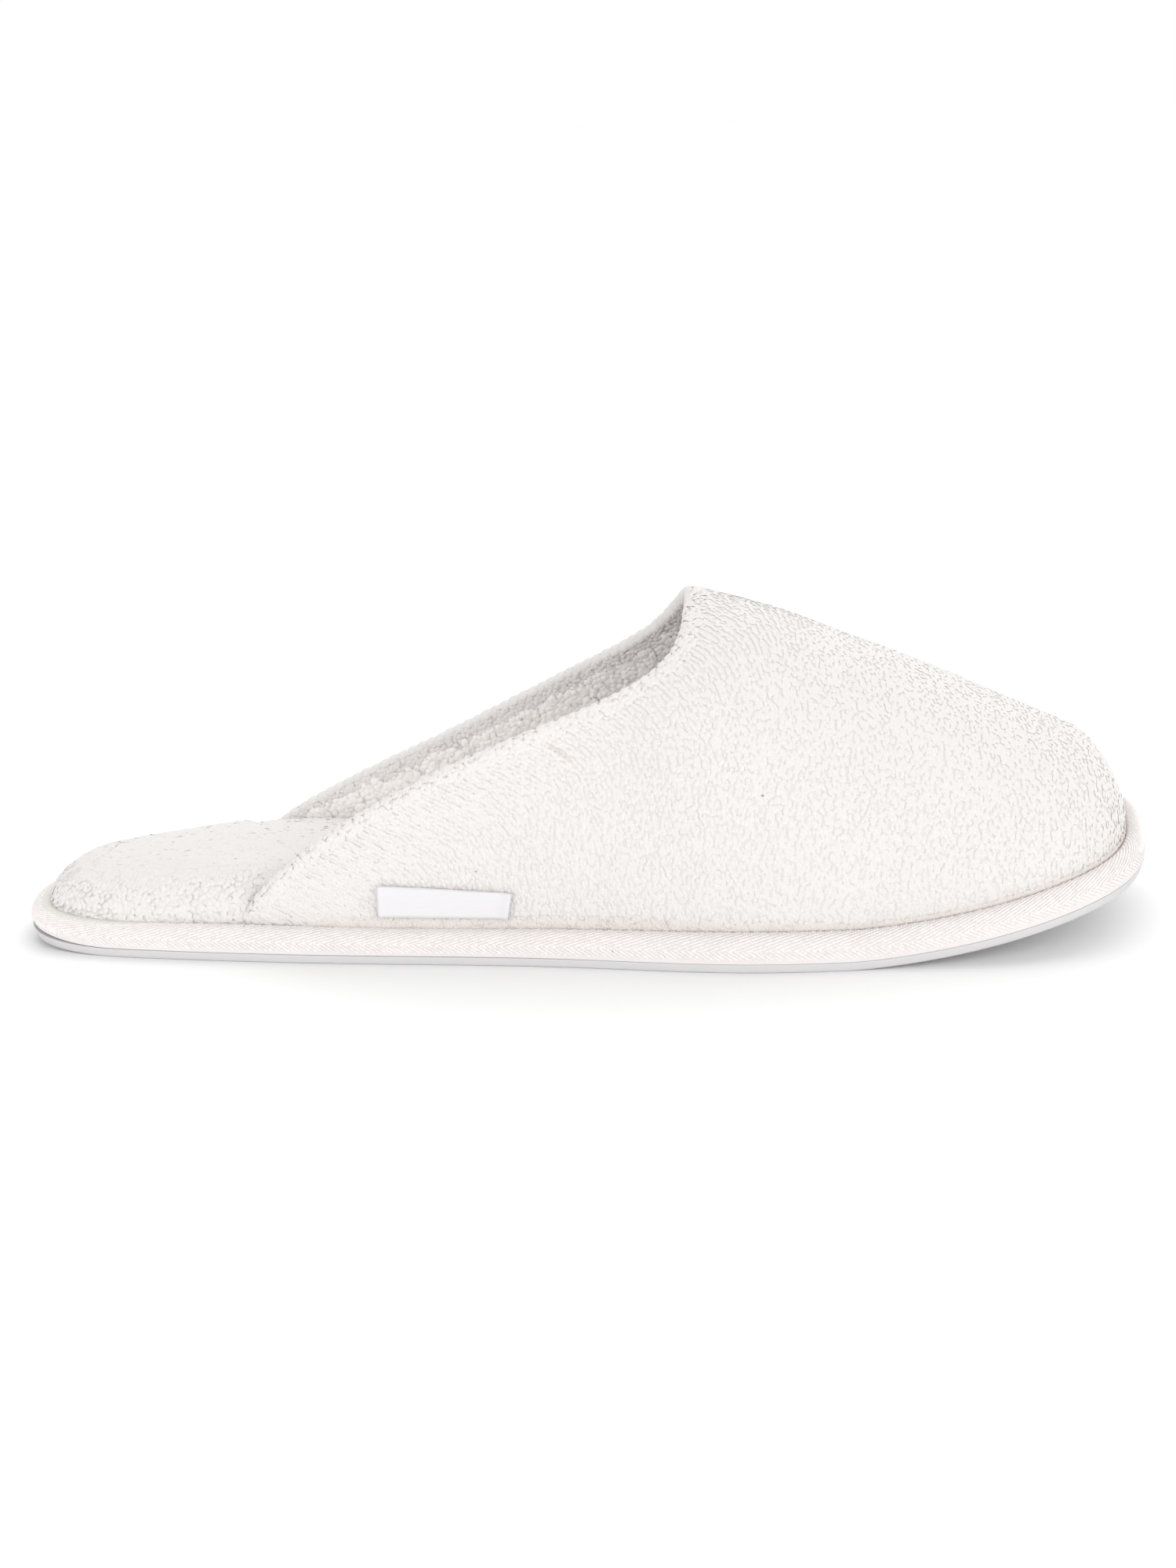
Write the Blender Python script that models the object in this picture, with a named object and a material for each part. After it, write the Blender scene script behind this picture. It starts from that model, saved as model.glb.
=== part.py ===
"""A right scuff slipper: a terry upper open at the heel, a thick terry insole pad, a bound midsole and a thin outsole.

Heel at -X, toe at +X, the wearer's outer (lateral) side at -Y, the inner (medial) side at +Y, sole on Z = 0.
The origin is the centre of the bounding box's bottom. Sizes are millimetres until a mesh is made.
"""

import math

import bmesh
import bpy
import numpy as np

MM = 0.001

# Driving sizes of the shoe, in millimetres
LENGTH = 262.0
BALL_WIDTH = 98.0
OUTSOLE_THICKNESS = 2.4
OUTSOLE_SETBACK = 1.0
OUTSOLE_EDGE_ROUND = 0.6
BOUND_EDGE_HEIGHT = 6.0
TAPE_THICKNESS = 0.8
TAPE_LEG = 4.5
TAPE_SHOULDER_IN = 3.6
TAPE_SHOULDER_UP = 5.2
TAPE_SHOULDER_STEPS = 5
TAPE_LOWER_ROUND = 0.5
THROAT_HEIGHT = 68.0
TOE_NOSE = 12.0
UPPER_WALL = 3.5
PAD_THICKNESS = 13.6
PAD_FOOT_IN = 1.0
TOE_SPRING = 13.5
HEEL_SPRING = 2.0
HEEL_PARTING = 1.3
LABEL_LENGTH = 30.8
LABEL_BACK_HEIGHT = 7.4
LABEL_FRONT_HEIGHT = 5.9
LABEL_THICKNESS = 0.6
GAP = 0.3

# Heights of the layers above the tread, in millimetres
BINDING_BOTTOM = OUTSOLE_THICKNESS + GAP
BINDING_TOP = BINDING_BOTTOM + BOUND_EDGE_HEIGHT
CORE_REBATE = BINDING_BOTTOM + TAPE_THICKNESS + GAP
CORE_TOP = BINDING_TOP - TAPE_THICKNESS - GAP
SEAT = CORE_TOP + GAP
UPPER_SETBACK = TAPE_LEG + GAP
PAD_SETBACK = UPPER_SETBACK + UPPER_WALL + GAP

# The sole's outline as the floor sees it, once round from the heel along the lateral side.
# along: share of LENGTH from the heel. across: share of BALL_WIDTH, lateral is negative.
OUTLINE = (
    (0.000, -0.020),
    (0.020, -0.198),
    (0.062, -0.267),
    (0.130, -0.312),
    (0.305, -0.380),
    (0.496, -0.436),
    (0.650, -0.500),
    (0.782, -0.484),
    (0.886, -0.436),
    (0.965, -0.310),
    (1.000, 0.010),
    (0.986, 0.290),
    (0.922, 0.428),
    (0.794, 0.497),
    (0.656, 0.494),
    (0.515, 0.432),
    (0.363, 0.374),
    (0.210, 0.340),
    (0.110, 0.290),
    (0.056, 0.242),
    (0.017, 0.162),
)

# How the sole leaves the floor. along: share of LENGTH.
HEEL_BREAK = 0.090
TOE_BREAK = 0.730
TOE_SPRING_CURVE = 1.6

# The upper's ridge. along: share of LENGTH, height: share of THROAT_HEIGHT above the seat, lean: share of
# BALL_WIDTH that the ridge stands to the medial side of the middle. Behind the throat the rows go on as
# the dome that the open sides are cut from.
RIDGE = (
    (0.150, 1.310, 0.020),
    (0.300, 1.270, 0.022),
    (0.400, 1.190, 0.025),
    (0.500, 1.080, 0.028),
    (0.560, 1.020, 0.030),
    (0.605, 1.012, 0.030),
    (0.650, 0.973, 0.030),
    (0.720, 0.868, 0.028),
    (0.790, 0.738, 0.024),
    (0.860, 0.572, 0.016),
    (0.925, 0.397, 0.008),
    (0.982, 0.243, 0.000),
)
SECTION_ROUNDNESS = 2.2

# The collar. up: share of the way round a section from the seat to the ridge. lateral and medial: where
# the edge lies on each side, as a share of LENGTH.
COLLAR = (
    (0.00, 0.213, 0.178),
    (0.05, 0.240, 0.213),
    (0.10, 0.274, 0.264),
    (0.15, 0.313, 0.318),
    (0.20, 0.355, 0.367),
    (0.25, 0.394, 0.407),
    (0.30, 0.432, 0.441),
    (0.40, 0.498, 0.498),
    (0.50, 0.547, 0.540),
    (0.60, 0.583, 0.570),
    (0.70, 0.599, 0.588),
    (0.85, 0.605, 0.601),
    (1.00, 0.606, 0.606),
)

# The insole pad. along: share of LENGTH, thickness: share of PAD_THICKNESS, shoulder: share of BALL_WIDTH
# over which its edge rises, fullness: how square the shoulder is.
PAD = (
    (0.000, 0.90, 0.150, 1.7),
    (0.080, 0.96, 0.150, 1.7),
    (0.160, 1.02, 0.120, 2.0),
    (0.230, 1.02, 0.090, 2.5),
    (0.300, 0.92, 0.085, 2.5),
    (0.450, 0.70, 0.085, 2.4),
    (0.650, 0.54, 0.085, 2.2),
    (1.000, 0.46, 0.085, 2.0),
)

# The pad's crown and the height of its tucked-in foot, as shares of its thickness, and the length of its neck
# beside the upper's end, as a share of LENGTH
PAD_CROWN = 0.11
PAD_FOOT_UP = 0.06
PAD_NECK = 0.016

# The label, on the lateral side. along: share of LENGTH at its middle.
LABEL_ALONG = 0.391

# How finely the shapes are cut
OUTLINE_SAMPLES = 24
STATIONS = 32
CAP_COLUMNS = 6
UPPER_ROWS = 34
UPPER_STATIONS = 26
RIM_STEPS = 4
LABEL_STATIONS = 8
PAD_SHOULDER_STEPS = (0.03, 0.10, 0.22, 0.40, 0.65, 1.00)
SHARP_ANGLE = math.radians(40)


def spline(knots, values, at, closed=False):
    """The smooth cubic through values at knots. A closed one repeats its first value at its last knot."""
    knots, values = np.asarray(knots, float), np.asarray(values, float)
    flat = values.ndim == 1
    if flat:
        values = values[:, None]
    last = len(knots) - 1
    span = np.diff(knots)
    slope = np.diff(values, axis=0) / span[:, None]
    matrix = np.eye(last + 1)
    right = np.zeros_like(values)
    for i in range(1, last):
        matrix[i, i - 1 : i + 2] = span[i - 1], 2 * (span[i - 1] + span[i]), span[i]
        right[i] = 6 * (slope[i] - slope[i - 1])
    if closed:
        matrix[0, [0, 1, last - 1]] = 2 * (span[-1] + span[0]), span[0], span[-1]
        right[0] = 6 * (slope[0] - slope[-1])
        matrix[last, 0] = -1
    bend = np.linalg.solve(matrix, right)
    at = np.asarray(at, float)
    i = np.clip(np.searchsorted(knots, at, "right") - 1, 0, last - 1)
    a = ((knots[i + 1] - at) / span[i])[..., None]
    b = ((at - knots[i]) / span[i])[..., None]
    cubic = ((a**3 - a) * bend[i] + (b**3 - b) * bend[i + 1]) * (span[i] ** 2)[..., None] / 6
    found = a * values[i] + b * values[i + 1] + cubic
    return found[..., 0] if flat else found


def column(table, name_index, along):
    """One column of a table of sections, read smoothly at these shares of LENGTH."""
    rows = np.array(table)
    return spline(rows[:, 0], rows[:, name_index], np.clip(along, rows[0, 0], rows[-1, 0]))


def ease(start, end, at):
    """0 before start, 1 after end, and smooth between."""
    t = np.clip((at - start) / (end - start), 0, 1)
    return t * t * (3 - 2 * t)


def along_of(x):
    """The share of LENGTH from the heel at x."""
    return x / LENGTH + 0.5


def lift(x, height=0.0):
    """How far a point of the sole at x stands up from its place on a flat one: heel spring and toe spring, flat
    between them. At the heel's end the bound edge also parts from the outsole under it."""
    share, height = along_of(np.asarray(x, float)), np.asarray(height, float)
    heel = np.clip(1 - share / HEEL_BREAK, 0, None) ** 2
    toe = np.clip((share - TOE_BREAK) / (1 - TOE_BREAK), 0, None) ** TOE_SPRING_CURVE
    within = np.clip((BINDING_TOP - height) / BOUND_EDGE_HEIGHT, 0, 1)
    parting = np.where(height > OUTSOLE_THICKNESS, HEEL_PARTING * within, 0)
    return (HEEL_SPRING + parting) * heel + TOE_SPRING * toe


def dense_outline():
    """The outline's points and outward directions, fitted to LENGTH and BALL_WIDTH, from the heel round."""
    shares = np.array(OUTLINE + OUTLINE[:1]) * (LENGTH, BALL_WIDTH)
    knots = np.concatenate([[0], np.cumsum(np.hypot(*np.diff(shares, axis=0).T))])
    at = np.linspace(0, knots[-1], OUTLINE_SAMPLES * len(OUTLINE), endpoint=False)
    points = spline(knots, shares, at, closed=True)
    low, high = points.min(0), points.max(0)
    points = (points - (low + high) / 2) / (high - low) * (LENGTH, BALL_WIDTH)
    forward = np.roll(points, -1, 0) - np.roll(points, 1, 0)
    outward = np.stack([forward[:, 1], -forward[:, 0]], 1)
    outward *= -np.sign(forward[0, 1]) / np.hypot(*outward.T)[:, None]
    heel = points[:, 0].argmin()
    return np.roll(points, -heel, 0), np.roll(outward, -heel, 0)


EDGE, OUTWARD = dense_outline()
TOE = EDGE[:, 0].argmax()


def side_line(setback, medial):
    """A side of the outline, taken in by setback, as x and y from heel to toe."""
    line = EDGE - OUTWARD * setback
    line = np.concatenate([line[TOE:], line[:1]])[::-1] if medial else line[: TOE + 1]
    return line[:, 0], line[:, 1]


def pad_neck(medial):
    """Where along LENGTH the insole pad is in full, and where it is in past the upper's rolled end, on a side."""
    end = COLLAR[0][2 if medial else 1] - (UPPER_WALL / 2 + GAP) / LENGTH
    return end - PAD_NECK, end


def station_shares():
    """Shares of LENGTH to cut the sole's layers at: close at both ends and where the pad narrows."""
    even = (1 - np.cos(np.linspace(0, math.pi, STATIONS + 1))) / 2
    necks = np.array([*pad_neck(False), *pad_neck(True)])
    spare = np.abs(even[:, None] - necks).min(1) > PAD_NECK / 2
    return np.sort(np.concatenate([even[spare], necks]))


def station_points():
    """Points and outward directions of the outline at the stations, in a closed ring: lateral, then medial."""
    x = EDGE[0, 0] + (EDGE[TOE, 0] - EDGE[0, 0]) * station_shares()
    sides = []
    for side in (slice(0, TOE + 1), slice(TOE, None)):
        points, outward = EDGE[side], OUTWARD[side]
        if side.start:
            points = np.concatenate([points, EDGE[:1]])[::-1]
            outward = np.concatenate([outward, OUTWARD[:1]])[::-1]
        order = np.argsort(points[:, 0], kind="stable")
        packed = np.hstack([points, outward])[order]
        sides.append(np.stack([np.interp(x, packed[:, 0], packed[:, c]) for c in range(4)], 1))
    lateral, medial = sides
    medial[[0, -1]] = lateral[[0, -1]]
    ring = np.concatenate([lateral, medial[-2:0:-1]])
    ring[:, 2:] /= np.hypot(ring[:, 2], ring[:, 3])[:, None]
    return ring[:, :2], ring[:, 2:]


RING, RING_OUTWARD = station_points()
TOE_STATION = len(RING) // 2
RING_IS_MEDIAL = np.arange(len(RING)) > TOE_STATION


def ring(setback, height):
    """A ring of points that far inside the outline and that far above the tread, following the sole's lift."""
    setback = np.broadcast_to(setback, len(RING))
    flat = RING - RING_OUTWARD * setback[:, None]
    return np.column_stack([flat, lift(flat[:, 0], height) + height])


def finish(name, mesh_data, colour, roughness):
    """Makes the object of a mesh in millimetres, with its material, smooth but for its sharp edges."""
    mesh = bpy.data.meshes.new(name)
    bmesh.ops.remove_doubles(mesh_data, verts=mesh_data.verts, dist=1e-4)
    bmesh.ops.recalc_face_normals(mesh_data, faces=mesh_data.faces)
    bmesh.ops.scale(mesh_data, vec=(MM, MM, MM), verts=mesh_data.verts)
    mesh_data.to_mesh(mesh)
    mesh_data.free()
    mesh.shade_smooth()
    mesh.set_sharp_from_angle(angle=SHARP_ANGLE)
    material = bpy.data.materials.new(name)
    material.use_nodes = True
    shader = material.node_tree.nodes["Principled BSDF"]
    shader.inputs["Base Color"].default_value = (*colour, 1)
    shader.inputs["Roughness"].default_value = roughness
    shader.inputs["Metallic"].default_value = 0
    mesh.materials.append(material)
    made = bpy.data.objects.new(name, mesh)
    bpy.context.scene.collection.objects.link(made)
    return made


def add_points(mesh_data, points):
    """Adds points to the mesh and returns its vertices for them."""
    return [mesh_data.verts.new(p) for p in points]


def bridge(mesh_data, one, other, closed=True):
    """Faces between two rows of vertices."""
    count = len(one)
    for i in range(count if closed else count - 1):
        j = (i + 1) % count
        mesh_data.faces.new((one[i], one[j], other[j], other[i]))


def cap(mesh_data, edge, height, crown=0.0):
    """Closes a ring of vertices at that height with rows from side to side, along the sole's lift."""
    rows = [[edge[0]]]
    across = np.linspace(0, 1, CAP_COLUMNS + 1)[1:-1, None]
    for i in range(1, TOE_STATION):
        ends = np.array([edge[i].co, edge[-i].co])
        inner = ends[0] + (ends[1] - ends[0]) * across
        above = ends[:, 2] - lift(ends[:, 0], height)
        level = above[0] + (above[1] - above[0]) * across[:, 0]
        width = min(1.0, np.ptp(ends[:, 1]) / BALL_WIDTH * 2)
        rise = crown * width * (1 - (2 * across[:, 0] - 1) ** 2)
        inner[:, 2] = level + lift(inner[:, 0], height) + rise
        rows.append([edge[i], *add_points(mesh_data, inner), edge[-i]])
    rows.append([edge[TOE_STATION]])
    for i in (0, TOE_STATION - 1):
        tip, row = (rows[i][0], rows[i + 1]) if i == 0 else (rows[i + 1][0], rows[i])
        for one, other in zip(row, row[1:]):
            mesh_data.faces.new((tip, one, other))
    for row, beyond in zip(rows[1:-1], rows[2:-1]):
        bridge(mesh_data, row, beyond, closed=False)


def layered(name, rings, colour, roughness, crown=0.0):
    """A closed solid from rings of (setback, height), from under its middle round its edge to its top."""
    mesh_data = bmesh.new()
    rows = [add_points(mesh_data, ring(*r)) for r in rings]
    for one, other in zip(rows, rows[1:]):
        bridge(mesh_data, one, other)
    cap(mesh_data, rows[0], np.min(rings[0][1]))
    cap(mesh_data, rows[-1], np.min(rings[-1][1]), crown)
    return finish(name, mesh_data, colour, roughness)


def build_outsole():
    """A thin sheet with its lower edge eased, set back a little under the bound edge."""
    inner = OUTSOLE_SETBACK + OUTSOLE_EDGE_ROUND
    rings = (
        (inner, 0.0),
        (OUTSOLE_SETBACK, OUTSOLE_EDGE_ROUND),
        (OUTSOLE_SETBACK, OUTSOLE_THICKNESS),
    )
    return layered("outsole", rings, (0.90, 0.90, 0.91), 0.45)


def shoulder(depth, foot):
    """The tape's rounded shoulder at that depth under its outside, as (setback, height), from foot up to its top."""
    across, up = TAPE_SHOULDER_IN - depth, TAPE_SHOULDER_UP - depth
    centre = TAPE_SHOULDER_IN, BINDING_TOP - TAPE_SHOULDER_UP
    start = math.asin(max(0.0, (foot - centre[1]) / up))
    turns = np.linspace(start, math.pi / 2, TAPE_SHOULDER_STEPS + 1)
    return [(centre[0] - across * math.cos(t), centre[1] + up * math.sin(t)) for t in turns]


def build_midsole():
    """The foam core: it fills the bound edge, with a rebate under it for the tape's lower leg."""
    rebate_end = TAPE_LEG + GAP
    side = shoulder(TAPE_THICKNESS + GAP, CORE_REBATE)
    rings = [(rebate_end, BINDING_BOTTOM), (rebate_end, CORE_REBATE), *side]
    return layered("midsole", rings, (0.80, 0.78, 0.74), 0.9)


def build_binding():
    """The herringbone tape, folded round the sole's edge as a channel: a lower leg, a side and an upper leg."""
    outer_foot = BINDING_BOTTOM + TAPE_LOWER_ROUND
    inner_foot = BINDING_BOTTOM + TAPE_THICKNESS
    profile = [
        (TAPE_LEG, BINDING_BOTTOM),
        (TAPE_LOWER_ROUND, BINDING_BOTTOM),
        (0.0, outer_foot),
        *shoulder(0.0, outer_foot),
        (TAPE_LEG, BINDING_TOP),
        (TAPE_LEG, BINDING_TOP - TAPE_THICKNESS),
        *reversed(shoulder(TAPE_THICKNESS, inner_foot)),
        (TAPE_THICKNESS, inner_foot),
        (TAPE_LEG, inner_foot),
    ]
    mesh_data = bmesh.new()
    rows = [add_points(mesh_data, ring(*p)) for p in profile]
    for one, other in zip(rows, rows[1:] + rows[:1]):
        bridge(mesh_data, one, other)
    return finish("edge_binding", mesh_data, (0.82, 0.80, 0.76), 0.85)


def build_insole():
    """The terry pad: thick and domed at the heel, thinner forward, and narrower where the upper stands beside it."""
    at_edge = along_of(RING[:, 0])
    narrowed = np.where(RING_IS_MEDIAL, ease(*pad_neck(True), at_edge), ease(*pad_neck(False), at_edge))
    setback = UPPER_SETBACK + (PAD_SETBACK - UPPER_SETBACK) * narrowed
    thickness = PAD_THICKNESS * column(PAD, 1, at_edge)
    shoulder = BALL_WIDTH * column(PAD, 2, at_edge)
    fullness = column(PAD, 3, at_edge)
    rings = [(setback + PAD_FOOT_IN, SEAT), (setback, SEAT + PAD_FOOT_UP * thickness)]
    for inward in PAD_SHOULDER_STEPS:
        rise = (1 - (1 - inward) ** fullness) ** (1 / fullness)
        rings.append((setback + shoulder * inward, SEAT + thickness * rise * (1 - PAD_CROWN)))
    return layered("insole", rings, (0.84, 0.82, 0.79), 0.95, PAD_THICKNESS * PAD_CROWN)


BASE = [side_line(UPPER_SETBACK, medial) for medial in (False, True)]
NOSE_X = BASE[0][0][-1]
NOSE_Y = BASE[0][1][-1]


def ridge_height(x):
    """The upper's height above the seat at x: the ridge's line, rounded down over the toe's nose."""
    rounding = np.clip((NOSE_X - x) / TOE_NOSE, 0, 1)
    return THROAT_HEIGHT * column(RIDGE, 1, along_of(x)) * np.sqrt(1 - (1 - rounding) ** 2)


def upper_point(x, round_share):
    """A point of the upper's outside. round_share runs from -1, the lateral seat, over 0, the ridge, to 1."""
    x, round_share = np.broadcast_arrays(np.asarray(x, float), np.asarray(round_share, float))
    lateral, medial = (np.interp(x, *base) for base in BASE)
    middle = (lateral + medial) / 2 + BALL_WIDTH * column(RIDGE, 2, along_of(x))
    middle = np.where(x >= NOSE_X, NOSE_Y, np.clip(middle, lateral, medial))
    angle = (1 - np.abs(round_share)) * math.pi / 2
    out = np.clip(np.cos(angle), 0, 1) ** (2 / SECTION_ROUNDNESS)
    up = np.clip(np.sin(angle), 0, 1) ** (2 / SECTION_ROUNDNESS)
    y = middle + np.where(round_share < 0, lateral - middle, medial - middle) * out
    return np.stack([x, y, SEAT + lift(x) + ridge_height(x) * up], -1)


def upper_outward(x, round_share):
    """The outward direction of the upper there, from neighbouring points."""
    step = 0.02
    forward = upper_point(np.minimum(x + step, NOSE_X), round_share) - upper_point(x - step, round_share)
    share_step = 0.001
    low = np.maximum(round_share - share_step, -1)
    high = np.minimum(round_share + share_step, 1)
    around = upper_point(x, high) - upper_point(x, low)
    outward = np.cross(forward, around)
    return outward / np.linalg.norm(outward, axis=-1, keepdims=True)


def collar_x(round_share):
    """Where the collar's edge lies on the row of that share."""
    rows = np.array(COLLAR)
    up = 1 - np.abs(round_share)
    share = np.where(
        round_share < 0,
        spline(rows[:, 0], rows[:, 1], up),
        spline(rows[:, 0], rows[:, 2], up),
    )
    return (share - 0.5) * LENGTH


def build_upper():
    """One terry wall from the collar's rolled edge to the toe, open at the heel, the throat and underneath."""
    shares = np.linspace(-1, 1, UPPER_ROWS + 1)
    reach = 1 - np.cos(np.linspace(0, math.pi / 2, UPPER_STATIONS + 1))[1:]
    edge_x = collar_x(shares)
    x = NOSE_X - (NOSE_X - edge_x[:, None]) * reach
    around = np.broadcast_to(shares[:, None], x.shape)
    outer = upper_point(x, around)
    outward = upper_outward(x, around)
    outward[[0, -1], :, 2] = 0
    outward /= np.linalg.norm(outward, axis=-1, keepdims=True)
    inner = outer - outward * UPPER_WALL
    edge_line = np.gradient(outer[:, -1], axis=0)
    rolled = np.cross(edge_line, outward[:, -1])
    rolled /= np.linalg.norm(rolled, axis=-1, keepdims=True)
    if rolled[UPPER_ROWS // 2, 0] > 0:
        rolled = -rolled
    rolled[[0, -1]] = (-1, 0, 0)
    centre = (outer[:, -1] + inner[:, -1]) / 2
    turn = np.linspace(0, math.pi, RIM_STEPS + 1)[1:-1]
    rim = [
        centre + (outward[:, -1] * math.cos(t) + rolled * math.sin(t)) * UPPER_WALL / 2 for t in turn
    ]
    lines = np.concatenate([outer, np.stack(rim, 1), inner[:, ::-1]], 1)
    for side in (0, -1):
        lines[side, :, 2] = SEAT + lift(lines[side, :, 0])
    mesh_data = bmesh.new()
    nose = np.array([NOSE_X, NOSE_Y, SEAT + lift(NOSE_X)])
    inner_nose = np.array([NOSE_X - UPPER_WALL, NOSE_Y, SEAT + lift(NOSE_X - UPPER_WALL)])
    tip, inner_tip = add_points(mesh_data, (nose, inner_nose))
    rows = [[tip, *add_points(mesh_data, line), inner_tip] for line in lines]
    for row, beside in zip(rows, rows[1:]):
        mesh_data.faces.new((tip, row[1], beside[1]))
        bridge(mesh_data, row[1:-1], beside[1:-1], closed=False)
        mesh_data.faces.new((inner_tip, beside[-2], row[-2]))
    for row in (rows[0], rows[-1]):
        under, above = row[: UPPER_STATIONS + 1], row[::-1][: UPPER_STATIONS + 1]
        bridge(mesh_data, under, above, closed=False)
        mesh_data.faces.new(row[UPPER_STATIONS : UPPER_STATIONS + RIM_STEPS + 1])
    return finish("upper", mesh_data, (0.84, 0.82, 0.79), 0.95)


def build_label():
    """A plain woven tab lying on the lateral side, its lower edge down at the seam over the tape."""
    middle = (LABEL_ALONG - 0.5) * LENGTH
    x = np.linspace(middle - LABEL_LENGTH / 2, middle + LABEL_LENGTH / 2, LABEL_STATIONS + 1)
    low = BINDING_TOP - SEAT + GAP
    tall = np.linspace(LABEL_BACK_HEIGHT, LABEL_FRONT_HEIGHT, LABEL_STATIONS + 1)
    mesh_data = bmesh.new()
    faces = []
    for stand_off in (GAP, GAP + LABEL_THICKNESS):
        rows = []
        for up in (0, 0.5, 1):
            height = low + tall * up
            share = np.arcsin((height / ridge_height(x)) ** (SECTION_ROUNDNESS / 2)) / (math.pi / 2) - 1
            points = upper_point(x, share) + upper_outward(x, share) * stand_off
            rows.append(add_points(mesh_data, points))
        faces.append(rows)
    for rows in faces:
        for one, other in zip(rows, rows[1:]):
            bridge(mesh_data, one, other, closed=False)
    back, front = faces
    for i in (0, -1):
        bridge(mesh_data, back[i], front[i], closed=False)
        bridge(mesh_data, [row[i] for row in back], [row[i] for row in front], closed=False)
    return finish("label", mesh_data, (0.90, 0.90, 0.91), 0.6)


def build():
    """The whole slipper, from an empty scene."""
    for old in list(bpy.data.objects):
        bpy.data.objects.remove(old)
    build_outsole()
    build_midsole()
    build_binding()
    build_insole()
    build_upper()
    build_label()


build()
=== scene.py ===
"""The looks of a right terry scuff slipper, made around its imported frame.

Heel at -X, toe at +X, the wearer's outer (lateral) side at -Y, the inner (medial) side at +Y, sole on Z = 0.
Sizes are millimetres until a mesh is made.
"""

import math

import bmesh
import bpy
import numpy as np
from mathutils import Matrix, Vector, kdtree


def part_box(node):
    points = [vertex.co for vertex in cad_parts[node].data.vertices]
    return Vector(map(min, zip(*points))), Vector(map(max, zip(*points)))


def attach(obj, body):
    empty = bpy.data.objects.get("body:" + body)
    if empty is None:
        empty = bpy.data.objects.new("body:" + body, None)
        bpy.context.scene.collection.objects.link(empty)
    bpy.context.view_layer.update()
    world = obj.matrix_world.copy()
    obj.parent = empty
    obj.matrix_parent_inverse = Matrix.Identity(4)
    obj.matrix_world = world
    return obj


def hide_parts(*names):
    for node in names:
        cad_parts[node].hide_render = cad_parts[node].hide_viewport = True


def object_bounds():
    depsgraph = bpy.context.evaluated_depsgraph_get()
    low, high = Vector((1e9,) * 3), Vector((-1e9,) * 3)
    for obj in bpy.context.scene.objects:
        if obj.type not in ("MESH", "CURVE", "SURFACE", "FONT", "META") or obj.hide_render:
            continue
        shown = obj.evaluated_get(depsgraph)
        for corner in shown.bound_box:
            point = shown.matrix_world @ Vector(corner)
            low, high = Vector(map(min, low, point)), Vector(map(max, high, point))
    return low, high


MM = 0.001
SEED = 7

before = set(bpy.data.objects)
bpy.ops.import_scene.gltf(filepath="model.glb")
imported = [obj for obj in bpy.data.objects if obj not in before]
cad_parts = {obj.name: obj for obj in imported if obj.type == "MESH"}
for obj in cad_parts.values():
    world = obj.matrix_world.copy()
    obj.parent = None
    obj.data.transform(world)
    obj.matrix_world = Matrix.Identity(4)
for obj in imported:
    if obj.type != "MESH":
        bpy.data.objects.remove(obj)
CAD_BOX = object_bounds()
TAPE_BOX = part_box("edge_binding")

# The shoe's sizes: length and width from the frame, and the rest as the frame was built
LENGTH = (CAD_BOX[1].x - CAD_BOX[0].x) / MM
BALL_WIDTH = (TAPE_BOX[1].y - TAPE_BOX[0].y) / MM
OUTSOLE_THICKNESS = 2.4
OUTSOLE_EDGE_ROUND = 0.6
BOUND_EDGE_HEIGHT = 6.0
TAPE_THICKNESS = 0.8
TAPE_LEG = 4.5
TAPE_SHOULDER_IN = 3.6
TAPE_SHOULDER_UP = 5.2
TAPE_LOWER_ROUND = 0.5
THROAT_HEIGHT = 68.0
TOE_NOSE = 12.0
UPPER_WALL = 3.5
PAD_THICKNESS = 13.6
PAD_FOOT_IN = 1.0
TOE_SPRING = 13.5
HEEL_SPRING = 2.0
HEEL_PARTING = 1.3
LABEL_LENGTH = 30.8
LABEL_BACK_HEIGHT = 7.4
LABEL_FRONT_HEIGHT = 5.9
GAP = 0.3
BINDING_BOTTOM = OUTSOLE_THICKNESS + GAP
BINDING_TOP = BINDING_BOTTOM + BOUND_EDGE_HEIGHT
SEAT = BINDING_TOP - TAPE_THICKNESS
UPPER_SETBACK = TAPE_LEG + GAP
PAD_SETBACK = UPPER_SETBACK + UPPER_WALL + GAP

# The sole's outline from above, from the heel along the lateral side and back. along: share of LENGTH,
# across: share of BALL_WIDTH
OUTLINE = (
    (0.000, -0.020),
    (0.020, -0.198),
    (0.062, -0.267),
    (0.130, -0.312),
    (0.305, -0.380),
    (0.496, -0.436),
    (0.650, -0.500),
    (0.782, -0.484),
    (0.886, -0.436),
    (0.965, -0.310),
    (1.000, 0.010),
    (0.986, 0.290),
    (0.922, 0.428),
    (0.794, 0.497),
    (0.656, 0.494),
    (0.515, 0.432),
    (0.363, 0.374),
    (0.210, 0.340),
    (0.110, 0.290),
    (0.056, 0.242),
    (0.017, 0.162),
)
HEEL_BREAK = 0.090
TOE_BREAK = 0.730
TOE_SPRING_CURVE = 1.6

# The upper's ridge. along: share of LENGTH, height: share of THROAT_HEIGHT, lean: share of BALL_WIDTH
RIDGE = (
    (0.150, 1.310, 0.020),
    (0.300, 1.270, 0.022),
    (0.400, 1.190, 0.025),
    (0.500, 1.080, 0.028),
    (0.560, 1.020, 0.030),
    (0.605, 1.012, 0.030),
    (0.650, 0.973, 0.030),
    (0.720, 0.868, 0.028),
    (0.790, 0.738, 0.024),
    (0.860, 0.572, 0.016),
    (0.925, 0.397, 0.008),
    (0.982, 0.243, 0.000),
)
SECTION_ROUNDNESS = 2.2

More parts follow.
